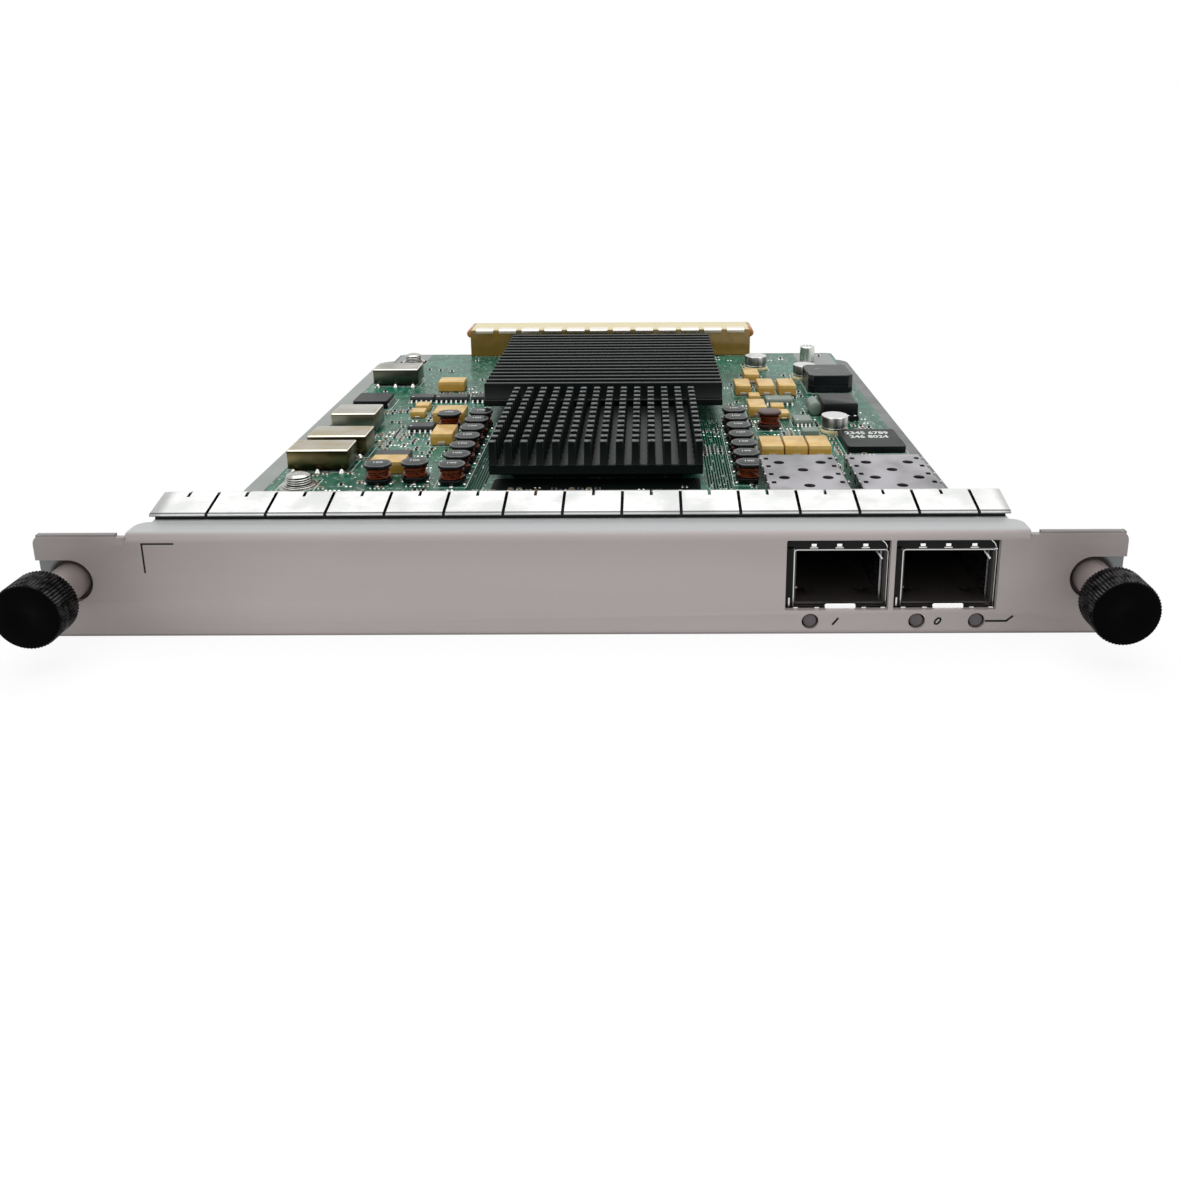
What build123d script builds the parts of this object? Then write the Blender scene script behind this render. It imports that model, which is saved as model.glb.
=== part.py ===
from build123d import *
import os

# Interface card: a circuit board on a sheet-metal tray behind a narrow front panel.
# Millimetres. +X is to the right of the panel seen from the front, +Y runs from the panel
# towards the backplane, +Z is up. The origin is the middle of the footprint, on the
# underside of the tray.

os.makedirs("parts", exist_ok=True)

# Overall depth
card_depth = 195.0  # panel face to the rear of the backplane connector
knob_reach = 12.5  # how far the knobs stand in front of the panel face

# Front panel, one folded sheet
panel_width = 162.5
panel_height = 16.4
panel_sheet = 1.0
panel_bend_radius = 1.4  # outside
panel_corner_cut = 1.5
flat_end_width = 13.45  # flat end of the panel beside the flange
flange_depth = 14.0
flange_step = 1.4  # the flange is narrower behind its front stretch
flange_step_depth = 4.8
relief_width = 1.5  # notch beside the bend
relief_height = 1.6

# Tray, board and what holds them
tray_sheet = 0.8
tray_left_inset = 7.15  # panel's end to the tray's side edge
tray_right_inset = 8.75
tray_corner_radius = 5.0
tray_margin = 2.5  # tray behind the board's rear edge
board_gap = 1.0  # tray to board, the height of the bosses
board_thickness = 1.6
board_left_inset = 6.9  # tray's side edge to the board's
board_right_inset = 4.95
board_inset = 3.0  # panel face to the board's front edge
board_corner_cut = 1.0
connector_overhang = 9.0  # connector behind the board's rear edge
board_screw_shank = 2.5
board_screw_clearance = 0.2
board_screw_head = 5.0
board_screw_head_height = 2.3
board_washer = 6.9
board_washer_thickness = 0.6
boss_diameter = 6.4
left_screw_inset = 6.2  # screws from the board's left edge
post_inset = 9.05  # corner post from its right edge
front_screw_depth = 60.3  # panel face to the front screw
rear_screw_inset = 11.0  # screws from the board's rear edge
corner_post_diameter = 4.4
corner_post_height = 4.6

# Captive thumbscrews
screw_inset = 4.75  # from the panel's end to the screw axis
screw_height = 9.0
notch_width = 6.8
bracket_sheet = 1.0
bracket_drop = 0.4  # bracket's top below the panel's
bracket_foot_depth = 10.0
ferrule_diameter = 5.5
ferrule_bore = 4.6
ferrule_lip_bore = 3.3
ferrule_lip_thickness = 0.8
ferrule_in_knob = 0.3  # the ferrule's front end inside the knob at rest
thumbscrew_travel = 3.6
knob_diameter = 9.8
knob_length = 5.6
knob_bore = 6.6
knob_stop_gap = 0.2  # knob floor to ferrule at full travel
knob_grooves = 22
knob_groove_depth = 0.45
knob_nose = 0.5  # smooth front end of the knob
knob_screw_depth = 0.9  # the screw pressed into the knob
screw_thread = 3.0  # outside diameter
screw_neck = 2.2
screw_shank = 2.6  # between the ring and the thread
thread_gap = 0.3  # ferrule to the first thread
screw_tip_length = 4.5  # behind the bracket at rest
ring_diameter = 4.2
ring_thickness = 0.5
ring_clearance = 0.05  # ring on the neck, and ring to the lip
spring_diameter = 4.2
spring_wire = 0.4

# Transceiver ports
port_pitch = 16.25
right_port_inset = 26.5  # panel's end to the middle of the right port
port_width = 15.5
port_height = 10.9
port_rise = 0.6  # opening's lower edge above the board
cage_width = 14.2
cage_height = 9.8
cage_sheet = 0.3
cage_setback = 1.4  # panel face to the cage mouth
cage_length = 47.1
cage_collar_width = 15.0
cage_collar_rise = 1.3  # collar above the cage's top
cage_collar_depth = 1.6
vent_diameter = 2.0
vent_rear_inset = 4.8  # first vent row from the cage's rear
vent_row_pitch = 4.4
vent_rows = 4
vent_pair_spacing = 7.8
host_width = 11.6
host_height = 7.0
host_depth = 9.5
host_rear_gap = 1.5
host_slot_width = 10.0
host_slot_height = 1.8
host_slot_depth = 5.0

# Status lights
light_hole = 2.4
lens_clearance = 0.1
lens_setback = 0.1
left_port_lights = (-3.9,)  # from the middle of the left port
right_port_lights = (-4.05, 4.95)

# Spring-finger strip on the panel's top flange
strip_end_gap = 1.85  # strip's ends from the flange's
strip_shift = -0.35
strip_front = 6.0  # panel face to the finger tips
strip_rise = 2.4  # crest above the flange
strip_curl_depth = 0.6  # curled finger tips
strip_curl_rise = 1.2
strip_back_rise = 1.9
strip_sheet = 0.3
strip_foot = 1.8
finger_pitch = 9.2
finger_slot = 0.6
first_finger_width = 8.1
finger_notch_depth = 1.1

# Front heat sink with pins, on its chip
front_sink_insets = (45.2, 46.25)  # from the board's left and right edges
front_sink_depth = 45.9
front_sink_start = 59.2  # panel face to the sink
front_sink_base = 2.1
pin_pitch_wanted = 3.2  # across the card
pin_rows = 13
pin_width = 1.6
front_chip_inset = 4.15  # from the sink's side edges
front_chip_depth = 35.0
front_chip_thickness = 2.0
thermal_pad = 0.4

# Rear heat sink with plate fins, on its chip
rear_sink_insets = (37.4, 39.15)  # from the board's left and right edges
rear_sink_connector_gap = 11.4  # rear heat sink to the backplane connector
rear_sink_gap = 2.2  # between the two heat sinks
rear_sink_base = 1.6
fin_pitch = 3.75
fin_thickness = 1.1
rear_chip_inset = 9.1  # from the sink's side edges
rear_chip_depth = 40.0
rear_chip_thickness = 3.6
sink_top = 9.4  # both heat sinks above the board

# Backplane connector at the rear edge
housing_insets = (22.5, 25.65)  # from the board's left and right edges
housing_height = 8.4
housing_depth = 12.0
housing_end_bump = 1.2
socket_height = 5.4
socket_depth = 6.0
socket_wall = 2.0
tongue_height = 1.8
shield_pitch = 7.05
shield_width = 5.3
shield_sheet = 0.3
shield_depth = 2.6
shield_drop = 1.0

# Components on the board. Their x is from the board's left edge, or negative from its right
# edge, and their depth is from the panel face.
# Shielded power modules: x of the middle, depth of the front, width, depth of the body
module_places = {
    "power_module_front": (7.7, 68.8, 13.0, 7.9),
    "power_module_second": (8.9, 79.4, 13.0, 8.3),
    "power_module_third": (7.8, 98.0, 10.5, 9.0),
    "power_module_rear": (7.5, 144.5, 12.4, 8.5),
}
module_foot = 0.7
module_foot_inset = 1.0
module_top = 4.9
module_bend_radius = 0.5

# Flat chips
left_chip = (6.2, 119.7, 10.0, 9.7)
left_chip_thickness = 2.1
right_chip = (-6.7, 80.5, 13.1, 14.0)
right_chip_thickness = 1.6
chip_standoff = 0.15
chip_chamfer = 0.8

# Small flat-pack chips
small_chips = (
    (21.7, 75.0, 7.5, 5.0),
    (23.4, 98.5, 6.2, 4.0),
    (18.2, 126.5, 6.2, 4.0),
    (26.0, 126.5, 8.6, 4.0),
    (34.2, 126.5, 6.2, 4.0),
    (-19.95, 102.5, 4.4, 5.2),
    (-23.35, 122.5, 7.0, 4.4),
)
small_chip_thickness = 1.5

# Drum inductors: x, depth of the first one's axis, pitch along Y
inductor_columns = {
    "inductors_left": (37.3, 61.6, 6.9),
    "inductors_right": (-36.65, 62.1, 7.0),
}
column_count = 7
single_inductors = ((22.1, 62.1), (29.4, 63.4), (29.9, 101.5), (-28.35, 101.6))
drum_diameter = 5.8
drum_height = 4.2
drum_flange = 1.0
winding_diameter = 4.7

# Moulded tantalum capacitors
left_tantalums = (
    (22.6, 67.0, 7.6, 5.3),
    (30.4, 87.5, 5.1, 8.3),
    (28.7, 106.2, 7.9, 7.2),
    (24.0, 137.9, 7.4, 5.8),
)
right_tantalums = (
    (-30.15, 77.1, 4.9, 8.3),
    (-24.95, 77.1, 4.9, 8.3),
    (-19.75, 77.1, 4.9, 8.3),
    (-30.15, 110.3, 4.4, 8.2),
    (-31.95, 132.0, 4.2, 8.6),
    (-25.75, 132.0, 4.4, 8.6),
    (-20.15, 132.0, 4.6, 8.6),
    (-28.45, 145.2, 4.3, 7.8),
)
small_tantalums = (
    (20.2, 110.7, 3.6, 4.1),
    (20.2, 116.9, 3.6, 4.1),
    (-24.75, 114.4, 3.4, 4.2),
    (-23.95, 108.0, 2.8, 4.2),
    (-29.55, 125.0, 3.0, 4.2),
)
tantalum_height = 2.8
small_tantalum_height = 1.8

# Electrolytic cans: x and depth of the axis
can_places = ((-13.35, 98.2), (-13.05, 152.4), (-25.65, 164.6))
can_diameter = 6.3
can_height = 3.3
can_base = 6.6
can_base_height = 0.8
can_base_chamfer = 1.5

# Power choke and transformer
choke = (-8.25, 134.9, 11.9, 13.6)
choke_height = 4.8
choke_notch = 1.3
transformer = (-10.15, 107.8, 8.4, 10.8)
transformer_height = 4.2
transformer_wing = 1.4
transformer_wing_height = 1.4

# Flat sides that small round pieces are drawn with, to keep the facets few
round_sides = 20
hidden_sides = 12
drum_sides = 8

# Levels and places that follow from the sizes
face_y = knob_reach - (knob_reach + card_depth) / 2
board_bottom = tray_sheet + board_gap
board_top = board_bottom + board_thickness
board_front = face_y + board_inset
board_rear = face_y + card_depth - connector_overhang
tray_front = face_y + panel_sheet
tray_rear = board_rear + tray_margin
flange_width = panel_width - 2 * flat_end_width
tray_left = tray_left_inset - panel_width / 2
tray_right = panel_width / 2 - tray_right_inset
bracket_height = panel_height - bracket_drop - tray_sheet
board_left = tray_left + board_left_inset
board_right = tray_right - board_right_inset
screw_x = panel_width / 2 - screw_inset
front_screw = (board_left + left_screw_inset, face_y + front_screw_depth)
rear_screws = (
    (board_left + left_screw_inset, board_rear - rear_screw_inset),
    (board_right - post_inset, board_rear - rear_screw_inset),
)
right_port_x = panel_width / 2 - right_port_inset
port_xs = {"left": right_port_x - port_pitch, "right": right_port_x}
light_xs = [port_xs["left"] + x for x in left_port_lights]
light_xs += [port_xs["right"] + x for x in right_port_lights]
lens_diameter = light_hole - 2 * lens_clearance
light_height = tray_sheet + lens_clearance + lens_diameter / 2
sides = {"left": -1, "right": 1}


def face_plane(depth):
    """Plane parallel to the panel face, this far behind it, seen from the front: x, z."""
    return Plane.XZ.offset(-(face_y + depth))


def board_x(x):
    """An x from the board's left edge, or negative from its right edge, in the card's frame."""
    return board_left + x if x > 0 else board_right + x


def between(insets):
    """Middle and width of a piece held off the board's left and right edges."""
    left = board_left + insets[0]
    right = board_right - insets[1]
    return (left + right) / 2, right - left


def board_block(place, bottom, height):
    """One block standing on the board, given as x of the middle, front edge, width, depth."""
    x, front, width, depth = place
    with Locations((board_x(x), face_y + front + depth / 2, bottom)):
        Box(width, depth, height, align=(Align.CENTER, Align.CENTER, Align.MIN))


# Front panel: face and top flange folded from one sheet, with flat ends
with BuildPart() as front_panel:
    with BuildSketch(Plane.YZ.offset(-flange_width / 2)):
        with BuildLine():
            FilletPolyline(
                (face_y, 0),
                (face_y, panel_height),
                (face_y + flange_depth, panel_height),
                radius=panel_bend_radius,
            )
            offset(amount=panel_sheet, side=Side.RIGHT)
        make_face()
    extrude(amount=flange_width)
    with BuildSketch(Plane.XY.offset(panel_height)):
        for side in sides.values():
            step_x = side * (flange_width - flange_step) / 2
            with Locations((step_x, face_y + (flange_depth + flange_step_depth) / 2)):
                Rectangle(flange_step, flange_depth - flange_step_depth)
    extrude(amount=-panel_sheet, mode=Mode.SUBTRACT)
    with BuildSketch(face_plane(0)) as flat_ends:
        for side in sides.values():
            with Locations((side * (panel_width + flange_width) / 4, panel_height / 2)):
                Rectangle((panel_width - flange_width) / 2, panel_height)
        end_columns = flat_ends.vertices().group_by(Axis.X)
        chamfer(end_columns[0] + end_columns[-1], length=panel_corner_cut)
    extrude(amount=-panel_sheet)
    with BuildSketch(face_plane(0)):
        for side in sides.values():
            with Locations((side * (flange_width + relief_width) / 2, panel_height - relief_height / 2)):
                Rectangle(relief_width, relief_height)
            with Locations((side * screw_x, screw_height)):
                RegularPolygon(notch_width / 2, round_sides)
            with Locations((side * (panel_width - screw_inset) / 2, screw_height)):
                Rectangle(screw_inset, notch_width)
        for x in port_xs.values():
            with Locations((x, board_top + port_rise + port_height / 2)):
                Rectangle(port_width, port_height)
        for x in light_xs:
            with Locations((x, light_height)):
                RegularPolygon(light_hole / 2, hidden_sides, major_radius=False)
    extrude(amount=-panel_sheet, mode=Mode.SUBTRACT)
front_panel.part.label = "front_panel"
export_step(front_panel.part, "parts/front_panel.step")

# Spring-finger strip: one bent sheet, slotted into fingers that rise to a crest
with BuildPart() as finger_strip:
    strip_back = face_y + flange_depth
    tip = face_y + strip_front
    crest = strip_back - strip_foot
    strip_width = flange_width - 2 * strip_end_gap
    strip_left = strip_shift - strip_width / 2
    finger_gaps = int((strip_width - first_finger_width) / finger_pitch) + 1
    with BuildSketch(Plane.YZ.offset(strip_left)):
        with BuildLine():
            Polyline(
                (tip, panel_height + strip_sheet),
                (tip + strip_curl_depth, panel_height + strip_curl_rise),
                (crest, panel_height + strip_rise),
                (strip_back - strip_sheet, panel_height + strip_back_rise),
                (strip_back, panel_height),
                (crest, panel_height),
            )
            offset(amount=strip_sheet, side=Side.RIGHT, kind=Kind.INTERSECTION)
        make_face()
    extrude(amount=strip_width)
    with BuildSketch(Plane.XY.offset(panel_height)):
        for i in range(finger_gaps):
            gap_x = strip_left + first_finger_width + i * finger_pitch
            with Locations((gap_x, (tip + crest) / 2 - strip_sheet)):
                Rectangle(finger_slot, crest - tip)
            with Locations((gap_x - finger_pitch / 2, strip_back)):
                Rectangle(finger_slot, 2 * finger_notch_depth)
    extrude(amount=2 * strip_rise, mode=Mode.SUBTRACT)
finger_strip.part.label = "emi_finger_strip"
export_step(finger_strip.part, "parts/emi_finger_strip.step")

# Carrier tray: flat sheet with round bosses that the board is screwed to
with BuildPart() as carrier_tray:
    with BuildSketch() as tray_outline:
        with Locations(((tray_left + tray_right) / 2, (tray_front + tray_rear) / 2)):
            Rectangle(tray_right - tray_left, tray_rear - tray_front)
        fillet(tray_outline.vertices().group_by(Axis.Y)[-1], radius=tray_corner_radius)
    extrude(amount=tray_sheet)
    with BuildSketch(Plane.XY.offset(tray_sheet)):
        with Locations(front_screw, *rear_screws):
            RegularPolygon(boss_diameter / 2, hidden_sides)
    extrude(amount=board_gap)
    with BuildSketch():
        with Locations(front_screw, *rear_screws):
            RegularPolygon(board_screw_shank / 2, hidden_sides)
    extrude(amount=board_bottom, mode=Mode.SUBTRACT)
carrier_tray.part.label = "carrier_tray"
export_step(carrier_tray.part, "parts/carrier_tray.step")

# Angle brackets behind the panel's notches: a plate that holds the ferrule, and a foot on the tray
for name, side in sides.items():
    plate_outer = panel_width / 2
    plate_inner = flange_width / 2 + relief_width
    foot_outer = tray_right if side > 0 else -tray_left
    with BuildPart() as bracket:
        with BuildSketch(face_plane(panel_sheet)) as plate:
            with Locations((side * (plate_outer + plate_inner) / 2, tray_sheet + bracket_height / 2)):
                Rectangle(plate_outer - plate_inner, bracket_height)
            chamfer(plate.vertices().group_by(Axis.X)[side // 2], length=panel_corner_cut)
            with Locations((side * screw_x, screw_height)):
                RegularPolygon(ferrule_diameter / 2, round_sides, mode=Mode.SUBTRACT)
        extrude(amount=-bracket_sheet)
        with BuildSketch(Plane.XY.offset(tray_sheet)):
            with Locations((side * (foot_outer + plate_inner) / 2, tray_front + bracket_foot_depth / 2)):
                Rectangle(foot_outer - plate_inner, bracket_foot_depth)
        extrude(amount=bracket_sheet)
    bracket.part.label = f"end_bracket_{name}"
    export_step(bracket.part, f"parts/end_bracket_{name}.step")

# Thumbscrew places along its axis, from the panel face, negative in front
knob_back = knob_length - knob_reach
ferrule_front = knob_back - ferrule_in_knob
ferrule_back = panel_sheet + bracket_sheet
knob_floor = ferrule_front - thumbscrew_travel - knob_stop_gap
lip_back = ferrule_back - bracket_sheet - thumbscrew_travel - ring_thickness
lip_front = lip_back - ferrule_lip_thickness
ring_front = lip_back + ring_clearance
ring_back = ring_front + ring_thickness
thread_front = ferrule_back + thread_gap
screw_tip = ferrule_back + screw_tip_length


def axis_plane(side, depth):
    """Plane across a thumbscrew's axis, this far behind the panel face, seen from the front."""
    return Plane(origin=(side * screw_x, face_y + depth, screw_height), x_dir=(1, 0, 0), z_dir=(0, -1, 0))


def stretch(side, start, end, diameter, count, mode=Mode.ADD, across_corners=True):
    """Add or cut one straight stretch of a thumbscrew piece, with this many flat sides."""
    with BuildSketch(axis_plane(side, start)) as outline:
        RegularPolygon(diameter / 2, count, major_radius=across_corners)
    extrude(outline.sketch, amount=start - end, mode=mode)


def bore(side, start, end, diameter):
    """Cut a hidden bore that is nowhere narrower than its diameter."""
    stretch(side, start, end, diameter, hidden_sides, Mode.SUBTRACT, across_corners=False)


for name, side in sides.items():
    # Ferrule: a tube with an inner lip that the spring and the ring bear on
    with BuildPart() as ferrule:
        stretch(side, ferrule_front, ferrule_back, ferrule_diameter, round_sides)
        bore(side, ferrule_front, lip_front, ferrule_bore)
        bore(side, lip_front, lip_back, ferrule_lip_bore)
        bore(side, lip_back, ferrule_back, ferrule_bore)
    ferrule.part.label = f"thumbscrew_ferrule_{name}"
    export_step(ferrule.part, f"parts/thumbscrew_ferrule_{name}.step")

    # Knob: grooved all round, with a smooth nose, hollow from behind
    with BuildPart() as knob:
        nose_diameter = knob_diameter - 2 * knob_groove_depth
        stretch(side, -knob_reach, knob_nose - knob_reach, nose_diameter, knob_grooves)
        with BuildSketch(axis_plane(side, knob_nose - knob_reach)):
            with BuildLine():
                corners = []
                for i in range(2 * knob_grooves):
                    radius = knob_diameter / 2 - knob_groove_depth * (i % 2)
                    corners.append(Vector(radius, 0).rotate(Axis.Z, 180 * i / knob_grooves))
                Polyline(*corners, close=True)
            make_face()
        extrude(amount=knob_nose - knob_length)
        bore(side, knob_floor, knob_back, knob_bore)
        stretch(
            side, knob_floor - knob_screw_depth, knob_floor, screw_thread, hidden_sides, Mode.SUBTRACT
        )
    knob.part.label = f"thumbscrew_knob_{name}"
    export_step(knob.part, f"parts/thumbscrew_knob_{name}.step")

    # Captive screw: pressed into the knob, with a neck for the ring behind the ferrule's lip
    with BuildPart() as screw:
        stretch(side, knob_floor - knob_screw_depth, ring_front - ring_clearance, screw_thread, hidden_sides)
        stretch(side, ring_front - ring_clearance, ring_back + ring_clearance, screw_neck, hidden_sides)
        stretch(side, ring_back + ring_clearance, thread_front, screw_shank, hidden_sides)
        with BuildSketch(axis_plane(side, thread_front)):
            Circle(screw_thread / 2)
        extrude(amount=thread_front - screw_tip)
    screw.part.label = f"captive_screw_{name}"
    export_step(screw.part, f"parts/captive_screw_{name}.step")

    # Retaining ring on the screw's neck, resting behind the lip
    with BuildPart() as ring:
        stretch(side, ring_front, ring_back, ring_diameter, hidden_sides)
        bore(side, ring_front, ring_back, screw_neck + 2 * ring_clearance)
    ring.part.label = f"retaining_ring_{name}"
    export_step(ring.part, f"parts/retaining_ring_{name}.step")

    # Spring: the sleeve that its coil fills, between the lip and the knob's floor
    with BuildPart() as spring:
        stretch(side, knob_floor, lip_front, spring_diameter, hidden_sides)
        bore(side, knob_floor, lip_front, spring_diameter - 2 * spring_wire)
    spring.part.label = f"thumbscrew_spring_{name}"
    export_step(spring.part, f"parts/thumbscrew_spring_{name}.step")

# Circuit board
with BuildPart() as circuit_board:
    with BuildSketch(Plane.XY.offset(board_bottom)) as board_outline:
        with Locations(((board_left + board_right) / 2, (board_front + board_rear) / 2)):
            Rectangle(board_right - board_left, board_rear - board_front)
        chamfer(board_outline.vertices(), length=board_corner_cut)
        with Locations(front_screw, *rear_screws):
            RegularPolygon(
                board_screw_shank / 2 + board_screw_clearance, hidden_sides, mode=Mode.SUBTRACT
            )
    extrude(amount=board_thickness)
circuit_board.part.label = "circuit_board"
export_step(circuit_board.part, "parts/circuit_board.step")

# Board screws with their washers, through the board into the bosses
with BuildPart() as board_screws:
    with BuildSketch(Plane.XY.offset(board_top + board_washer_thickness)):
        with Locations(front_screw, rear_screws[0]):
            RegularPolygon(board_screw_head / 2, round_sides)
    extrude(amount=board_screw_head_height)
    with BuildSketch(Plane.XY.offset(tray_sheet)):
        with Locations(front_screw, rear_screws[0]):
            RegularPolygon(board_screw_shank / 2, hidden_sides)
    extrude(amount=board_top + board_washer_thickness - tray_sheet)
board_screws.part.label = "board_screws"
export_step(board_screws.part, "parts/board_screws.step")

with BuildPart() as board_washers:
    with BuildSketch(Plane.XY.offset(board_top)):
        with Locations(front_screw, rear_screws[0]):
            RegularPolygon(board_washer / 2, round_sides)
            RegularPolygon(board_screw_shank / 2, hidden_sides, mode=Mode.SUBTRACT)
    extrude(amount=board_washer_thickness)
board_washers.part.label = "board_washers"
export_step(board_washers.part, "parts/board_washers.step")

# Threaded post at the rear right corner, in the place of a screw
with BuildPart() as corner_post:
    with BuildSketch(Plane.XY.offset(board_top)):
        with Locations(rear_screws[1]):
            RegularPolygon(corner_post_diameter / 2, round_sides)
    extrude(amount=corner_post_height)
    with BuildSketch(Plane.XY.offset(board_top)):
        with Locations(rear_screws[1]):
            RegularPolygon(board_screw_shank / 2, hidden_sides)
    extrude(amount=tray_sheet - board_top)
corner_post.part.label = "corner_post"
export_step(corner_post.part, "parts/corner_post.step")

# Transceiver cages: folded boxes, open at the mouth, with a collar that fills the panel opening
for name, x in port_xs.items():
    cage_front = face_y + cage_setback
    cage_rear = cage_front + cage_length
    inner_width = cage_width - 2 * cage_sheet
    inner_height = cage_height - 2 * cage_sheet
    collar_height = cage_height + cage_collar_rise - port_rise - lens_clearance
    collar_floor = board_top + port_rise + lens_clearance
    with BuildPart() as cage:
        with Locations((x, (cage_front + cage_rear) / 2, board_top)):
            Box(cage_width, cage_length, cage_height, align=(Align.CENTER, Align.CENTER, Align.MIN))
        with Locations((x, cage_front + cage_collar_depth / 2, collar_floor)):
            Box(
                cage_collar_width,
                cage_collar_depth,
                collar_height,
                align=(Align.CENTER, Align.CENTER, Align.MIN),
            )
        with Locations((x, (cage_front + cage_rear) / 2 - cage_sheet, board_top + cage_sheet)):
            Box(
                inner_width,
                cage_length,
                inner_height,
                align=(Align.CENTER, Align.CENTER, Align.MIN),
                mode=Mode.SUBTRACT,
            )
        with BuildSketch(Plane.XY.offset(board_top + cage_height)):
            for row in range(vent_rows):
                row_y = cage_rear - vent_rear_inset - row * vent_row_pitch
                pair = [(x - vent_pair_spacing / 2, row_y), (x + vent_pair_spacing / 2, row_y)]
                with Locations(*(pair if row % 2 == 0 else [(x, row_y)])):
                    RegularPolygon(vent_diameter / 2, hidden_sides)
        extrude(amount=-cage_sheet, mode=Mode.SUBTRACT)
    cage.part.label = f"transceiver_cage_{name}"
    export_step(cage.part, f"parts/transceiver_cage_{name}.step")

    # Host connector at the back of the cage
    with BuildPart() as host:
        host_back = cage_rear - cage_sheet - host_rear_gap
        with Locations((x, host_back - host_depth / 2, board_top + cage_sheet)):
            Box(host_width, host_depth, host_height, align=(Align.CENTER, Align.CENTER, Align.MIN))
        slot_y = host_back - host_depth + host_slot_depth / 2
        with Locations((x, slot_y, board_top + cage_sheet + host_height / 2)):
            Box(host_slot_width, host_slot_depth, host_slot_height, mode=Mode.SUBTRACT)
    host.part.label = f"host_connector_{name}"
    export_step(host.part, f"parts/host_connector_{name}.step")

# Status light lenses, from the panel's holes to the board's front edge
with BuildPart() as lenses:
    with BuildSketch(face_plane(lens_setback)):
        with Locations(*[(x, light_height) for x in light_xs]):
            RegularPolygon(lens_diameter / 2, hidden_sides)
    extrude(amount=lens_setback - board_inset)
lenses.part.label = "status_light_lenses"
export_step(lenses.part, "parts/status_light_lenses.step")

# Front heat sink: a base with a grid of square pins
front_chip_top = board_top + front_chip_thickness
front_sink_y = face_y + front_sink_start + front_sink_depth / 2
front_sink_x, front_sink_width = between(front_sink_insets)
pin_columns = round((front_sink_width - pin_width) / pin_pitch_wanted) + 1
pin_pitch_x = (front_sink_width - pin_width) / (pin_columns - 1)
pin_pitch_y = (front_sink_depth - pin_width) / (pin_rows - 1)
with BuildPart() as front_sink:
    front_sink_bottom = front_chip_top + thermal_pad
    with Locations((front_sink_x, front_sink_y, front_sink_bottom)):
        Box(
            front_sink_width,
            front_sink_depth,
            board_top + sink_top - front_sink_bottom,
            align=(Align.CENTER, Align.CENTER, Align.MIN),
        )
    with BuildSketch(Plane.XY.offset(board_top + sink_top)):
        with Locations((front_sink_x, front_sink_y)):
            with GridLocations(pin_pitch_x, 0, pin_columns - 1, 1):
                Rectangle(pin_pitch_x - pin_width, front_sink_depth)
            with GridLocations(0, pin_pitch_y, 1, pin_rows - 1):
                Rectangle(front_sink_width, pin_pitch_y - pin_width)
    extrude(
        amount=-(board_top + sink_top - front_sink_bottom - front_sink_base),
        mode=Mode.SUBTRACT,
    )
front_sink.part.label = "heat_sink_front"
export_step(front_sink.part, "parts/heat_sink_front.step")

# Rear heat sink: a comb profile extruded across the card, its fins running along X
rear_chip_top = board_top + rear_chip_thickness
rear_sink_x, rear_sink_width = between(rear_sink_insets)
rear_sink_start = front_sink_start + front_sink_depth + rear_sink_gap
rear_sink_depth = card_depth - housing_depth - rear_sink_connector_gap - rear_sink_start
rear_sink_y = face_y + rear_sink_start + rear_sink_depth / 2
with BuildPart() as rear_sink:
    rear_sink_bottom = rear_chip_top + thermal_pad
    fin_count = int((rear_sink_depth - fin_thickness) / fin_pitch) + 1
    with BuildSketch(Plane.YZ.offset(rear_sink_x - rear_sink_width / 2)):
        with Locations((rear_sink_y, rear_sink_bottom + rear_sink_base / 2)):
            Rectangle(rear_sink_depth, rear_sink_base)
        fin_height = board_top + sink_top - rear_sink_bottom
        with Locations((rear_sink_y, rear_sink_bottom + fin_height / 2)):
            with GridLocations(fin_pitch, 0, fin_count, 1):
                Rectangle(fin_thickness, fin_height)
    extrude(amount=rear_sink_width)
rear_sink.part.label = "heat_sink_rear"
export_step(rear_sink.part, "parts/heat_sink_rear.step")

# Chips under the heat sinks, and the pads between them
front_chip_width = front_sink_width - 2 * front_chip_inset
rear_chip_width = rear_sink_width - 2 * rear_chip_inset
with BuildPart() as front_chip:
    with Locations((front_sink_x, front_sink_y, board_top)):
        Box(
            front_chip_width,
            front_chip_depth,
            front_chip_thickness,
            align=(Align.CENTER, Align.CENTER, Align.MIN),
        )
front_chip.part.label = "processor_chip_front"
export_step(front_chip.part, "parts/processor_chip_front.step")

with BuildPart() as rear_chip:
    with Locations((rear_sink_x, rear_sink_y, board_top)):
        Box(
            rear_chip_width,
            rear_chip_depth,
            rear_chip_thickness,
            align=(Align.CENTER, Align.CENTER, Align.MIN),
        )
rear_chip.part.label = "processor_chip_rear"
export_step(rear_chip.part, "parts/processor_chip_rear.step")

with BuildPart() as thermal_pads:
    with Locations((front_sink_x, front_sink_y, front_chip_top)):
        Box(front_chip_width, front_chip_depth, thermal_pad, align=(Align.CENTER, Align.CENTER, Align.MIN))
    with Locations((rear_sink_x, rear_sink_y, rear_chip_top)):
        Box(rear_chip_width, rear_chip_depth, thermal_pad, align=(Align.CENTER, Align.CENTER, Align.MIN))
thermal_pads.part.label = "thermal_pads"
export_step(thermal_pads.part, "parts/thermal_pads.step")

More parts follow.
